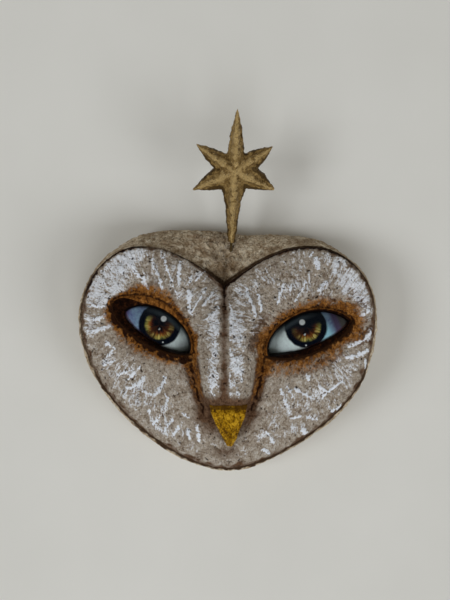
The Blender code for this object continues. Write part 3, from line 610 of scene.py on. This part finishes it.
def eye_print_paint(side, word):
    """A hazel iris in a bluish white, dark under the upper lid as print and painted shade, with a painted
    reflection along that lid, painted shade along the lower lid and in the corners, and its painted glints.
    """
    p = Paint("eye_print_" + word)
    plus, minus, times = p.plus, p.minus, p.times
    iris_u, iris_v = IRIS[side]
    dx, dz = p.offset(*eye_to_head(side, iris_u, iris_v))
    cos, sin = math.cos(EYE_SLOPE[side]), math.sin(EYE_SLOPE[side])
    nosewards = times(dx, -side)
    u = plus(times(nosewards, cos), times(dz, -sin), iris_u)
    v = plus(times(nosewards, sin), times(dz, cos), iris_v)
    radius = p.length(dx, dz)

    def fibres(count, seed, twist):
        return p.fibres(dx, dz, plus(times(radius, twist), seed), count)

    rays, tufts, broad = fibres(10, 0.0, 0.05), fibres(4, 5.0, 0.1), fibres(1.6, 9.0, 0.02)
    lift = minus(rays, 0.5)
    shifted = plus(radius, plus(times(lift, -3.6), times(minus(tufts, 0.5), -3.0)))
    hazel = p.ramp(p.math("DIVIDE", shifted, 7.0), [
        (0.25, (0.003, 0.004, 0.008)), (0.33, (0.055, 0.016, 0.01)), (0.42, (0.23, 0.055, 0.014)),
        (0.5, (0.38, 0.145, 0.026)), (0.58, (0.4, 0.35, 0.075)), (0.66, (0.13, 0.14, 0.045)),
        (0.74, (0.005, 0.009, 0.014))])
    bright = times(p.step(p.blend(rays, tufts, 0.5), 0.5, 0.57), p.step(radius, 2.5, 3.6))
    green = times(p.step(p.blend(broad, tufts, 0.6), 0.53, 0.6), p.step(radius, 2.8, 3.8))
    # Print and painted shade: the top of the iris is dark under the upper lid, the line tilted across it.
    level, tilt = (0.9, -0.36) if side == LEFT else (-0.5, -0.22)
    height = plus(dz, times(nosewards, -tilt), times(lift, 1.6))
    iris = p.layers(
        hazel,
        (times(bright, 0.8), (0.86, 0.7, 0.21)),
        (times(green, 0.55), (0.38, 0.46, 0.12)),
        (times(p.step(nosewards, 0.5, 4.0 if side == LEFT else 4.5), 0.62), (0.11, 0.036, 0.014)),
        (times(p.step(p.blend(broad, rays, 0.35), 0.5, 0.4), 0.9), (0.05, 0.018, 0.008)),
        (p.step(plus(radius, times(lift, 1.2)), 4.2, 4.9), (0.001, 0.003, 0.01)),
        (p.step(height, level - 1.6, level + 1.6), (0.005, 0.009, 0.017)))

    cloud = p.blend(p.noise(2.4, 3), p.noise(0.7, 3), 0.4)
    outer = p.ramp(cloud, [(0.35, (0.12, 0.14, 0.33)), (0.65, (0.27, 0.42, 0.55))])
    inner = p.ramp(cloud, [(0.35, (0.66, 0.74, 0.76)), (0.65, (0.84, 0.97, 0.96))])
    white = p.mix(p.step(u, -3.0, 3.0), outer, inner)
    # Darker and purple towards the outer corner: print colour, with painted shade in the corner.
    if side == LEFT:
        white = p.mix(p.step(u, -7.4, -9.2), white, (0.1, 0.08, 0.2))
    else:
        glow = times(p.step(u, -8.2, -6.0), p.step(v, 3.5, 0.0))
        white = p.layers(white, (times(glow, p.step(u, -2, -4)), (0.42, 0.78, 0.92)),
                         (p.step(u, -7.6, -9.0), (0.1, 0.078, 0.15)),
                         (p.step(u, -9.6, -10.8), (0.08, 0.075, 0.07)))

    middle, half, rise, drop, above, _ = LID_INSIDE[side]
    off = p.math("DIVIDE", minus(u, middle), half)
    room = p.math("MAXIMUM", minus(1.0, times(off, off)), 0.0)
    under_lid = plus(v, times(p.math("POWER", room, above[0] / 2), -rise))
    over_lid = plus(times(p.math("POWER", room, 0.8), -drop), times(v, -1.0))
    # Painted reflection: a pale blue-grey strip in the glass along the upper lid.
    strip = times(p.step(plus(under_lid, times(lift, 0.5)), -2.3, -1.1), p.step(u, -6.5, 1.0))
    strip = times(strip, p.step(u, 10.5, 6.0))
    colour = p.layers(
        iris,
        (p.step(plus(radius, times(minus(cloud, 0.5), 0.8)), 6.1, 6.7), white),
        # Painted reflection along the upper lid.
        (times(strip, 0.7), (0.07, 0.095, 0.11)),
        # Painted shade just under the upper lid, along the lower lid and in the eye's corners.
        (times(p.step(under_lid, -1.0, -0.15), 0.75), (0.006, 0.009, 0.013)),
        (times(p.step(over_lid, -0.45, 0.1), 0.6), (0.11, 0.026, 0.02)),
        (times(p.step(p.math("ABSOLUTE", off), 0.92, 1.05), 0.35), (0.03, 0.02, 0.026)))

    def spot(x, z, full, none):
        return p.step(p.length(minus(dx, x), minus(dz, z)), none, full)

    for x, z, size, shine in GLINTS[side]:
        lit = (shine * 0.94, shine, shine * 1.02)
        colour = p.mix(spot(x, z, size * 0.8, size * 1.2), colour, lit)
    x, z, *_ = GLINTS[side][1]
    colour = p.mix(spot(x - 0.3, z + 0.25, 0.3, 0.42), colour, (0.002, 0.003, 0.006))
    return p.coat(colour, 1.0, specular=0.0).material


def clear_glass():
    """Clear glass that lets light straight through and mirrors faintly by its angle."""
    p = Paint("clear_glass")
    p.tree.nodes.remove(p.shader)
    clear = p.add("BsdfTransparent", None, {"Color": (0.98, 0.99, 0.99, 1)})
    gloss = p.add("BsdfGlossy", None, {"Color": (0.3, 0.32, 0.34, 1), "Roughness": 0.05})
    fresnel = p.add("Fresnel", None, {"IOR": 1.45})
    return p.between(clear, gloss, fresnel.outputs[0])


def brass_paint():
    p = Paint("hanger_brass")
    fine, mid = p.noise(0.4, 4, 0.7), p.noise(2.5, 3)
    colour = p.ramp(mid, [(0.35, (0.36, 0.24, 0.085)), (0.65, (0.62, 0.45, 0.19))])
    rough = p.add("MapRange", None, {"Value": fine, "From Min": 0.3, "From Max": 0.7,
                                     "To Min": 0.22, "To Max": 0.42})
    return p.coat(colour, rough.outputs[0], metallic=1.0).bump(fine, 0.02, 0.5)


def wire_paint():
    p = Paint("pin_wire")
    colour = p.ramp(p.noise(0.8, 3), [(0.35, (0.1, 0.068, 0.028)), (0.65, (0.24, 0.175, 0.08))])
    return p.coat(colour, 0.45, metallic=0.8).material


def felt_paint():
    p = Paint("backing_felt")
    fibre = p.noise(0.18, 5, 0.75)
    felt = p.ramp(fibre, [(0.3, (0.022, 0.014, 0.009)), (0.7, (0.085, 0.058, 0.04))])
    colour = p.mix(p.times(p.noise(5, 3), 0.3), felt, (0.055, 0.036, 0.025))
    return p.coat(colour, 0.95, sheen=0.4).bump(fibre, 0.15)


def foam_paint():
    p = Paint("core_foam")
    colour = p.ramp(p.noise(1.2, 3), [(0.3, (0.62, 0.62, 0.6)), (0.7, (0.8, 0.8, 0.78))])
    return p.coat(colour, 0.95).material


def board_paint():
    p = Paint("board_wood")
    fleck = p.noise(0.35, 4, 0.7, stretch=(0.35, 1, 1))
    board = p.ramp(fleck, [(0.3, (0.22, 0.125, 0.058)), (0.7, (0.42, 0.275, 0.15))])
    colour = p.mix(p.times(p.noise(4, 2), 0.4), board, (0.33, 0.2, 0.1))
    return p.coat(colour, 0.8).bump(fleck, 0.05, 0.6)


# ---------------------------------------------------------------- the face

def lobe_outline(side):
    outer = half_edge(FACE_EDGE, side, NOTCH, CHIN, True, 26)[1:]
    count = 150
    seam = np.stack([np.full(count, SEAM_X), np.linspace(CHIN[1], NOTCH[1], count)], 1)
    return np.vstack([outer, seam])


def polar_about_eye(side, angles, outline):
    """Points of an eye-plane outline in the given head directions from the glass's centre."""
    centre = np.array(eye_to_head(side, 0, GLASS_RISE))
    points = np.array(eye_to_head(side, *outline)).T - centre
    around = np.arctan2(points[:, 1], points[:, 0])
    order = np.argsort(around)
    radius = np.interp(angles, around[order], np.hypot(*points[order].T), period=2 * math.pi)
    return centre + np.stack([np.cos(angles), np.sin(angles)], 1) * radius[:, None]


def stroke_heights(x, z, wobble):
    """How much raised white paint lies at each point: 1 in the middle of a stroke."""
    best = np.zeros(len(x))
    for width, strokes in STROKES.items():
        for (ax, az), (bx, bz) in (pair for points in strokes for pair in zip(points, points[1:])):
            length2 = (bx - ax) ** 2 + (bz - az) ** 2
            t = np.clip(((x - ax) * (bx - ax) + (z - az) * (bz - az)) / length2, 0, 1)
            away = np.hypot(x - ax - t * (bx - ax), z - az - t * (bz - az))
            half = width * 0.66 * (1 - 0.35 * np.abs(2 * t - 1))
            best = np.maximum(best, ease(away + 0.55 * wobble, half * 1.5, half * 0.3))
    return best


def near_eye(side, x, z):
    """How far each point is from the lids' outer almond."""
    rim_x, rim_z = eye_to_head(side, *almond(LID_OUTSIDE[side], full_turn(90)))
    best = np.full(len(x), FAR)
    for a, b in zip(rim_x, rim_z):
        best = np.minimum(best, np.hypot(x - a, z - b))
    return best


def face_masks(side, x, z, flat):
    """Paint masks, painted shade among them, and the relief that goes with them, for the front of one face
    half.
    """
    is_left = side == LEFT
    pulp, grit = grain(flat, 2.6, 1), grain(flat, 1.1, 2)
    dust, patch = grain(flat, 0.55, 3), grain(flat, 6.5, 4)
    eye_x, eye_z = eye_to_head(side, 0, GLASS_RISE)
    angle, reach = np.arctan2(z - eye_z, x - eye_x), np.hypot(x - eye_x, z - eye_z)
    combed = grain(np.stack([angle * 24, reach * 0.32, np.zeros(len(x))], 1), 1.0, 5 + side)
    hairs = grain(np.stack([angle * 46, reach * 0.4, np.zeros(len(x))], 1), 1.0, 15 + side)

    off = x - SEAM_X
    off_seam = np.abs(off)
    from_edge = face_radius(np.arctan2(z, x)) - np.hypot(x, z)
    u, v = head_to_eye(side, x, z)
    rim = near_eye(side, x, z)
    across = ridge_across(x, z)

    strokes = stroke_heights(x, z, 0.9 * grit + 1.0 * dust)
    reach_out = 6.2 if is_left else 7.2
    on_ridge = ease(off_seam, reach_out, reach_out - 2.5) * ease(off_seam, 0.9, 1.9)
    on_ridge *= ease(z, -14.8, -12)
    on_ridge *= ease(z, 14, 8)
    clumps = ease(grain(flat, 1.5, 9) + 0.6 * dust + 0.3 * patch, -0.45, 0.3) * on_ridge

    # Painted shade in the pocket round the beak, carried as brown and dark.
    muzzle = 1.25 * bell(off / 9.2, (z + 20.0) / 6.0)
    muzzle = np.maximum(muzzle, 0.6 * bell(off / 6.0, (z + 31.0) / 2.5))
    muzzle *= 0.85 + 0.35 * pulp
    bulb = ease(z, -12.3, -14.6) * ease(z, -19, -16) * ease(across, 1.3, 0.9)
    # Painted shade in the creases beside the ridge, carried as brown, orange and dark.
    crease = bell((across - CREASE_ACROSS) / CREASE_WIDTH) * ease(z, 3, -4)
    crease *= ease(z, -23, -17)
    groove = bell(off / 1.3) * ease(z, -19, -14)
    # Painted shade down the ridge's steep flanks, with orange paint there too.
    flank = ease(across + 0.12 * pulp, 0.92, 1.1) * ease(across + 0.1 * grit, 1.55, 1.25)
    flank *= ease(z, 8, 0) * ease(z, -18, -10)

    spread = 2.0 + 1.3 * patch + 1.3 * pulp
    if is_left:
        spread += 2.8 * ease(u, 3, -3) * ease(v, 1, 5) * ease(u, -14, -9)
        spread += 1.9 * ease(v, 0, -3)
        spread -= 1.0 * ease(u, 3, 7) * ease(v, 0, 3)
        spread -= 4.5 * ease(u, -12.0, -14.5) * ease(v, -4, -1)
    else:
        spread += 2.4 * ease(u, -10, -14) + 1.5 * ease(v, 1, -3) + 1.1 * ease(v, 1, 5)
    spread = np.maximum(spread, 0.5)
    orange = ease(rim, spread + 1.8, 0.3) * (1 + 0.25 * grit)
    if not is_left:
        orange *= 0.85 + 0.15 * ease(u, -6, -11)
        orange = np.maximum(orange, 0.52 * ease(rim, 6.5, 4.0) * ease(v, 0, -3) * ease(u, -9, -3))
    # The flanks and creases add to the orange: orange paint and painted shade.
    orange = orange + 0.5 * flank * (1 + 0.6 * pulp) + 0.22 * crease

    edge_wash = ease(from_edge + 0.8 * pulp, 2.0, 0.3)
    # Brown: a brown wash round the eyes, in the groove and at the edge, with painted shade in the creases,
    # the pocket round the beak, beside the ridge and down its flanks.
    brown = 0.7 * groove + 0.9 * crease + 1.15 * muzzle + 0.75 * edge_wash + 0.45 * bulb
    beside = ease(across, 0.85, 1.15) * ease(across, 2.0, 1.3) * ease(z, 2, -6)
    brown += 0.25 * ease(-pulp, 0.05, 0.5) + 0.4 * flank + 0.3 * beside * ease(z, -22, -16)
    wash = 0.45 if is_left else 0.75
    brown += wash * ease(rim, spread + 4.0, spread) * ease(patch + grit, -0.3, 0.4)

    blocked = 1.1 * ease(rim, spread + 1.2, 0.8) + 1.2 * muzzle + 0.9 * groove + crease + 0.5 * bulb
    blocked = np.clip(blocked + 0.5 * edge_wash, 0, 1)
    band = ease(from_edge, 1.2, 4) * ease(from_edge, 17, 10) * ease(z, 3, -4)
    crown_side = ease(z, 12, 18) * (1.0 if is_left else 0.75)
    cheek_side = ease(u, -12, -16) * ease(z, -8, -3)
    inner_side = ease(u, 9, 14) * ease(z, 2, 7) * ease(z, 26, 20)
    dry = 0.37 + 0.24 * band + 0.16 * crown_side + 0.26 * cheek_side + 0.32 * on_ridge
    dry += (0.24 if is_left else 0.1) * inner_side + 0.07 * ease(z, 0, 8)
    dry += 0.15 * patch + 0.12 * combed + 0.08 * hairs + 0.1 * pulp
    dry = np.clip(dry, 0, 0.86) * ease(from_edge, 0.2, 1.4) * (1 - blocked)
    white = np.maximum(strokes * (1 - 0.85 * blocked * (rim < 2)), 0.7 * clumps)

    # The dark cut round the face's edge, heavier along the top: dark paint, with painted shade in the groove
    # by the crown.
    if is_left:
        black = ease(z, 12, 22) * np.maximum(ease(x, -22, -30), 0.45 * ease(x, -22, -14))
        cut_width = 0.06 + 0.75 * black
    else:
        black = ease(z, 8, 20) * ease(x, 44, 32)
        cut_width = 0.06 + 0.45 * black + 0.9 * bell(off / 7) * black
    cut_width = cut_width * np.maximum(0.9 + 0.8 * patch + 0.7 * pulp, 0.15)
    cut = ease(from_edge + 0.45 * grit + 0.25 * dust, cut_width + 0.45, cut_width - 0.1)
    umber = ease(rim + 1.6 * grit + 1.2 * pulp, 3.2, 0.6) * ease(v, 0.5, -2.0)
    umber *= 0.85 if is_left else 0.5 * ease(u, -9, -4)
    # Painted shade: a thin dark line along the bottom of each crease.
    crease_shade_line = bell((across - CREASE_ACROSS - 0.03 + 0.07 * grit) / 0.07)
    crease_shade_line *= ease(z, 3, -4) * ease(z, -23, -17)
    speck = ease(grain(flat, 0.9, 12), 0.52, 0.64)
    # Near black: dark paint and specks, with painted shade in the cut, the notch, the creases and the pocket
    # round the beak.
    dark = np.maximum.reduce([
        cut * (0.4 + 0.6 * black), umber, 0.72 * ease(rim + 0.8 * grit, 1.6, 0.3),
        0.85 * crease_shade_line * ease(pulp, -0.6, 0.0), 0.42 * crease, 0.75 * bell(off / 0.6) * ease(z, 11, 17),
        0.58 * muzzle * ease(pulp + grit, -0.6, 0.4), 0.8 * speck])

    height = 0.2 * pulp + 0.18 * grit + 0.13 * dust
    height += (0.22 * combed + 0.16 * hairs) * ease(rim, 2, 6) * ease(across, 0.9, 1.5)
    height += 0.36 * strokes * (1 - 0.7 * blocked) + 0.22 * clumps
    height -= 0.35 * crease + 0.25 * speck + 0.35 * ease(from_edge, 0.9, 0.2)
    return {"white": white, "dry": dry, "brown": brown, "orange": orange, "dark": dark}, height


def make_face(side, word, paint):
    outline = lobe_outline(side)
    centre = np.array(eye_to_head(side, 0, GLASS_RISE))
    angles = np.arctan2(outline[:, 1] - centre[1], outline[:, 0] - centre[0])
    opening = polar_about_eye(side, angles, almond(LID_OUTSIDE[side], full_turn(480)))
    shares = np.concatenate([np.linspace(0, 0.9, 92), 1 - 0.1 * (1 - np.linspace(0, 1, 26)[1:]) ** 1.6])
    rows = []
    for share in shares:
        flat = opening * (1 - share) + outline * share
        rows.append(ring_at(flat, face_depth(*flat.T)))
    front_rows = len(rows)
    edge_depth = rows[-1][:, 1]
    for share in (0.35, 0.7, 1):
        rows.append(ring_at(outline, edge_depth * (1 - share) + LOBE_BACK * share))
    rows.append(ring_at(opening, LOBE_BACK))
    name = "face_" + word
    mesh = build_mesh(name, rows, True)
    flat = in_mm(mesh)
    x, _, z = flat.T
    masks, height = face_masks(side, x, z, flat)
    row = np.arange(len(x)) // len(outline)
    front = row < front_rows
    on_seam = np.abs(x - SEAM_X) < 1e-4
    fade = np.where(front, np.where(row > front_rows - 4, 0.5, 1.0), 0.35)
    push(mesh, np.where(on_seam & ~front, 0, height * fade))
    # The lobe's sides and back are brown and part dark: paint, with painted shade in the groove by the
    # crown.
    for key, behind in (("dark", 0.35), ("brown", 1.0), ("dry", 0.0)):
        masks[key] = np.where(front, masks[key], behind)
    for key, values in masks.items():
        attribute(mesh, key, values)
    add_piece(name, mesh, paint, "face_clay", "face_lobe_" + word)


def make_lid(side, word, which, paint):
    """A lid whose outer border sinks into the face and whose inner edge rests on the glass."""
    upper = which == "upper"
    profile = np.array(LID_PROFILES[which])
    dense, knots = np.linspace(0, 1, 26), np.linspace(0, 1, len(profile))
    spread, climb = np.interp(dense, knots, profile[:, 0]), np.interp(dense, knots, profile[:, 1])
    sections, inner_mask, rim_mask, outer_mask = [], [], [], []
    for turn in np.linspace(0.0, math.pi if upper else -math.pi, LID_STEPS + 1):
        inner, outer = almond(LID_INSIDE[side], turn), almond(LID_EDGE[side], turn)
        x, z = eye_to_head(side, *(inner[k] * (1 - spread) + outer[k] * spread for k in (0, 1)))
        seat = dome_depth(side, x, z)
        face = float(face_depth(x[-1:], z[-1:])[0])
        crest = max(face + 0.4, float(seat[12]) + 1.1)
        low = np.interp(spread, [0, 1], [seat[0], face - 0.6])
        depth = low + (crest - low) * climb
        under = np.column_stack([x[::-5], seat[::-5] + 0.02, z[::-5]])
        sections.append(np.vstack([np.column_stack([x, depth, z]), under]))
        wide = np.hypot(outer[0] - inner[0], outer[1] - inner[1])
        into = spread * wide
        reach = (0.7 + 0.6 * max(0, -math.cos(turn))) if upper else 0.9 * wide
        if side == LEFT:
            corner = float(ease(math.cos(turn), -0.6, -0.97))
            reach = reach * (1 - corner) + 0.9 * wide * corner
        inner_mask.append(np.append(ease(into, reach + 0.4, reach - 0.4), np.ones(len(under))))
        edge = (0.3 if upper else 0.9) * ease(into, wide - 1.6, wide - 0.6)
        outer_mask.append(np.append(edge, np.zeros(len(under))))
        rim = (1.0 if upper else 0.5) * ease(into, 0.75, 0.35)
        rim_mask.append(np.append(rim, np.ones(len(under))))
    name = which + "_lid_" + word
    mesh = build_mesh(name, sections, False)
    flat = in_mm(mesh)
    push(mesh, 0.12 * grain(flat, 1.6, 21) + 0.07 * grain(flat, 0.6, 22))
    for key, values in (("inner", inner_mask), ("rim", rim_mask), ("outer", outer_mask)):
        attribute(mesh, key, np.concatenate(values))
    add_piece(name, mesh, paint, "lid_clay", which + "_eyelid_" + word)


def dome_rows(side, back, rise, shrink):
    """Rings of an oval dome: a short upright girdle, then the rounded front."""
    turn = full_turn(112)
    levels = [(back, 1.0), (back + GLASS_GIRDLE * 0.5, 1.0)]
    for climb in np.linspace(0, math.pi / 2 * 0.985, 22):
        levels.append((back + GLASS_GIRDLE + rise * math.sin(climb), math.cos(climb)))
    rows = []
    for depth, scale in levels:
        u = (GLASS_HALF_LENGTH - shrink) * scale * np.cos(turn)
        v = (GLASS_HALF_HEIGHT - shrink) * scale * np.sin(turn) + GLASS_RISE
        rows.append(ring_at(np.column_stack(eye_to_head(side, u, v)), depth))
    return rows


def make_eye(side, word, glass):
    """The clear dome, and under it the print, domed as the glass makes it look."""
    mesh = build_mesh("glass_" + word, dome_rows(side, GLASS_BACK, GLASS_DOME, 0.0), False)
    add_piece("glass_" + word, mesh, glass, "eye_glass", "eye_glass_" + word)
    rows = dome_rows(side, GLASS_BACK + PRINT_RISE, GLASS_DOME - PRINT_BELOW, PRINT_INSIDE)
    mesh = build_mesh("print_" + word, rows, False)
    add_piece("print_" + word, mesh, eye_print_paint(side, word), "eye_paper", "eye_print_" + word)


# ---------------------------------------------------------------- crown, beak and star

def make_shell(paint):
    levels = np.array(SHELL_OUTSIDE)
    fine = np.linspace(0, 1, 64)
    run = np.hypot(np.diff(levels[:, 0]), np.diff(levels[:, 1] * 10 + levels[:, 2]))
    run = np.concatenate([[0], np.cumsum(run)])
    run /= run[-1]
    rows = [tuple(float(np.interp(t, run, levels[:, k])) for k in range(3)) for t in fine]
    rows += [(SHELL_FRONT, 1, SHELL_WALL), (9.5, 0.14, SHELL_WALL), (6.5, 0, SHELL_WALL), (0, 0, SHELL_WALL)]
    made = []
    for depth, share, inset in rows:
        made.append(ring_at(shrunk(BACK_RING * (1 - share) + FACE_RING * share, inset), depth))
    mesh = build_mesh("crown_and_sides", made, True)
    flat = in_mm(mesh)
    x, depth, z = flat.T
    outside = np.arange(len(x)) // len(BACK_RING) < len(fine)
    lumps, pulp, crumbs = grain(flat, 7, 31), grain(flat, 2.0, 32, 3), grain(flat, 0.8, 33)
    cracks = ease(np.abs(grain(flat, 3.2, 34)), 0.1, 0.02)
    height = 0.35 * lumps + 0.28 * pulp + 0.16 * crumbs - 0.3 * cracks
    settle = ease(depth, 0.2, 2.5) * ease(depth, SHELL_FRONT, SHELL_FRONT - 1.0)
    push(mesh, np.where(outside, height * settle, 0))
    # The cut by the face, heavier near the notch: dark paint, with painted shade in the groove.
    heavy = ease(z, 8, 16) * ease(x, -12, -5)
    cut = (0.25 + 0.5 * heavy) * ease(depth, SHELL_FRONT - 1.1, SHELL_FRONT - 0.1)
    low = 0.85 * np.maximum(ease(z, 12, -14), 0.8 * ease(x, -36, -43))
    low *= ease(depth + 1.2 * pulp, SHELL_FRONT - 7.0, SHELL_FRONT - 2.0)
    # Darker over the crown's middle above the notch, and at random.
    stain = 0.5 * bell((x - SEAM_X) / 11) * ease(z, 10, 18) + 0.2 * pulp
    dark = np.maximum.reduce([cut, low, stain, 0.5 * cracks])
    attribute(mesh, "dark", np.where(outside, dark, 0.2))
    add_piece("crown_and_sides", mesh, paint, "crown_clay", "head_shell")


def remeshed(name, node, rounds):
    """A fine even copy of a solid with its edges eased."""
    copy = new_object(name, bpy.data.objects[node].data.copy())
    grid = copy.modifiers.new("grid", "REMESH")
    grid.mode = "VOXEL"
    grid.voxel_size = VOXEL * MM
    softened = copy.modifiers.new("softened", "SMOOTH")
    softened.iterations = rounds
    softened.factor = 0.5
    evaluated = copy.evaluated_get(bpy.context.evaluated_depsgraph_get())
    mesh = bpy.data.meshes.new_from_object(evaluated)
    bpy.data.objects.remove(copy)
    mesh.name = name
    mesh.materials.clear()
    return mesh


def make_beak(paint):
    """The beak, with its top tucked under the end of the nose ridge."""
    mesh = remeshed("beak_clay", "beak", 6)
    tuck = ease(in_mm(mesh)[:, 2], -18.6, -16.6)
    move_to(mesh, coordinates(mesh) + np.outer(tuck, BEAK_TUCK) * MM)
    flat = in_mm(mesh)
    x, depth, z = flat.T
    scratch = ease(grain(flat * (1, 1, 0.35), 0.6, 41), 0.35, 0.55)
    push(mesh, 0.16 * grain(flat, 1.8, 42) + 0.08 * grain(flat, 0.6, 43) - 0.12 * scratch)
    # Painted shade low on the sides, where they meet the face, and on the top under the ridge's end; dark
    # scratches besides.
    above_face = depth - face_depth(x, z)
    sides = np.maximum(ease(above_face, 1.5, 0.4), 0.7 * ease(z, -18.0, -17.0))
    attribute(mesh, "dark", np.maximum(sides, 0.85 * scratch))
    add_piece("beak_clay", mesh, paint, "beak_paint", "beak")


def make_star(paint):
    """The star, with a ridge down the front of each ray and its edges worn."""
    mesh = remeshed("star_clay", "star", 5)
    flat = in_mm(mesh)
    away, out, up = (flat - STAR_FOOT).T
    rise = math.cos(STAR_PITCH) * up + math.sin(STAR_PITCH) * out
    across = away * math.cos(STAR_LEAN) - rise * math.sin(STAR_LEAN)
    rise = away * math.sin(STAR_LEAN) + rise * math.cos(STAR_LEAN) - STAR_CENTRE_RISE
    off_axis, from_tip = np.full(len(flat), FAR), np.zeros(len(flat))
    for angle, length in STAR_RAYS:
        cos, sin = math.cos(math.radians(angle)), math.sin(math.radians(angle))
        along, beside = across * cos + rise * sin, np.abs(rise * cos - across * sin)
        half = 0.6 + 3.1 * np.clip(1 - along / length, 0, 1)
        here = np.where(along > 0, beside / half, FAR)
        from_tip = np.where(here < off_axis, 1 - along / length, from_tip)
        off_axis = np.minimum(off_axis, here)
    worn = 0.26 * grain(flat, 2.0, 51) + 0.16 * grain(flat, 0.8, 52) + 0.05 * grain(flat, 0.4, 53)
    front = ease(math.cos(STAR_PITCH) * out - math.sin(STAR_PITCH) * up, -0.5, 0.8)
    front *= ease(from_tip, 0.04, 0.45)
    ridges = 0.8 * np.clip(1 - 1.6 * off_axis, 0, 1) - 0.3 * ease(off_axis, 0.3, 0.9)
    push(mesh, worn + front * ridges)
    # Where the ridges run, brightened in the paint as rubbed gold and painted highlight.
    attribute(mesh, "crest", ease(off_axis + 0.5 * grain(flat, 1.5, 54), 0.55, 0.05))
    attribute(mesh, "edge", ease(off_axis + 0.3 * grain(flat, 1.2, 55), 0.75, 1.15))
    add_piece("star_clay", mesh, paint, "gold_clay", "star")


# ---------------------------------------------------------------- the stage

def make_wall():
    """A pale wall, open where the ornament covers it so that light from behind reaches the felt."""
    p = Paint("wall_paint")
    colour = p.ramp(p.noise(60, 3), [(0.3, (0.705, 0.707, 0.676)), (0.7, (0.741, 0.743, 0.714))])
    p.coat(colour, 0.9).bump(p.noise(1.5, 3), 0.04, 0.5)
    count = len(BACK_RING)
    radii = np.hypot(*BACK_RING.T)[:, None]
    flat = np.vstack([shrunk(BACK_RING, WALL_UNDER_RIM), BACK_RING * WALL_REACH / radii])
    i = np.arange(count)
    k = (i + 1) % count
    quads = np.stack([i, k, count + k, count + i], 1).tolist()
    mesh = bpy.data.meshes.new("wall")
    mesh.from_pydata((ring_at(flat, -WALL_GAP) * (1, -1, 1) * MM).tolist(), [], quads)
    # From behind, the wall isn't seen.
    seen_from = p.add("NewGeometry").outputs["Backfacing"]
    mesh.materials.append(p.between(p.shader, p.add("BsdfTransparent"), seen_from))
    wall = new_object("wall", mesh)


def add_light(name, position, size, power, colour):
    lamp = bpy.data.lights.new(name, "AREA")
    lamp.size = size
    lamp.energy = power
    lamp.color = colour
    obj = new_object(name, lamp)
    obj.location = position
    obj.rotation_euler = (Vector(LAMP_AIM) - Vector(position)).to_track_quat("-Z", "Y").to_euler()
    # The glass mirrors no lamp from in front: its glints are painted.
    obj.visible_glossy = position[1] > 0
    obj.visible_camera = False


def set_stage():
    scene = bpy.context.scene
    scene.view_settings.view_transform = "Standard"
    scene.world = bpy.data.worlds.new("pale_room")
    scene.world.use_nodes = True
    background = scene.world.node_tree.nodes["Background"]
    background.inputs["Color"].default_value = ROOM_COLOUR
    background.inputs["Strength"].default_value = ROOM_STRENGTH
    make_wall()
    for lamp in LAMPS:
        add_light(*lamp)
    camera = bpy.data.cameras.new("camera")
    camera.sensor_width = 36
    camera.lens = CAMERA_LENS
    camera.clip_start, camera.clip_end = 0.01, 10
    scene.camera = new_object("camera", camera)
    scene.camera.location = CAMERA_PLACE
    scene.camera.rotation_euler = (math.pi / 2, 0, 0)


def main():
    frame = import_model()
    set_stage()
    make_shell(crown_paint())
    lid, glass = lid_paint(), clear_glass()
    for side, word in SIDES:
        make_face(side, word, face_paint(side, word))
        for which in LID_PROFILES:
            make_lid(side, word, which, lid)
        make_eye(side, word, glass)
    make_beak(beak_paint())
    make_star(gold_paint())
    brass = brass_paint()
    plain = {"star_pin": wire_paint(), "felt_pad": felt_paint(), "back_board": board_paint(),
             "hanger_strap": brass, "hanger_ring": brass, "hanger_screw": brass, "foam_core": foam_paint()}
    for node, material in plain.items():
        slots = frame["nodes"][node].data.materials
        slots.clear()
        slots.append(material)


main()
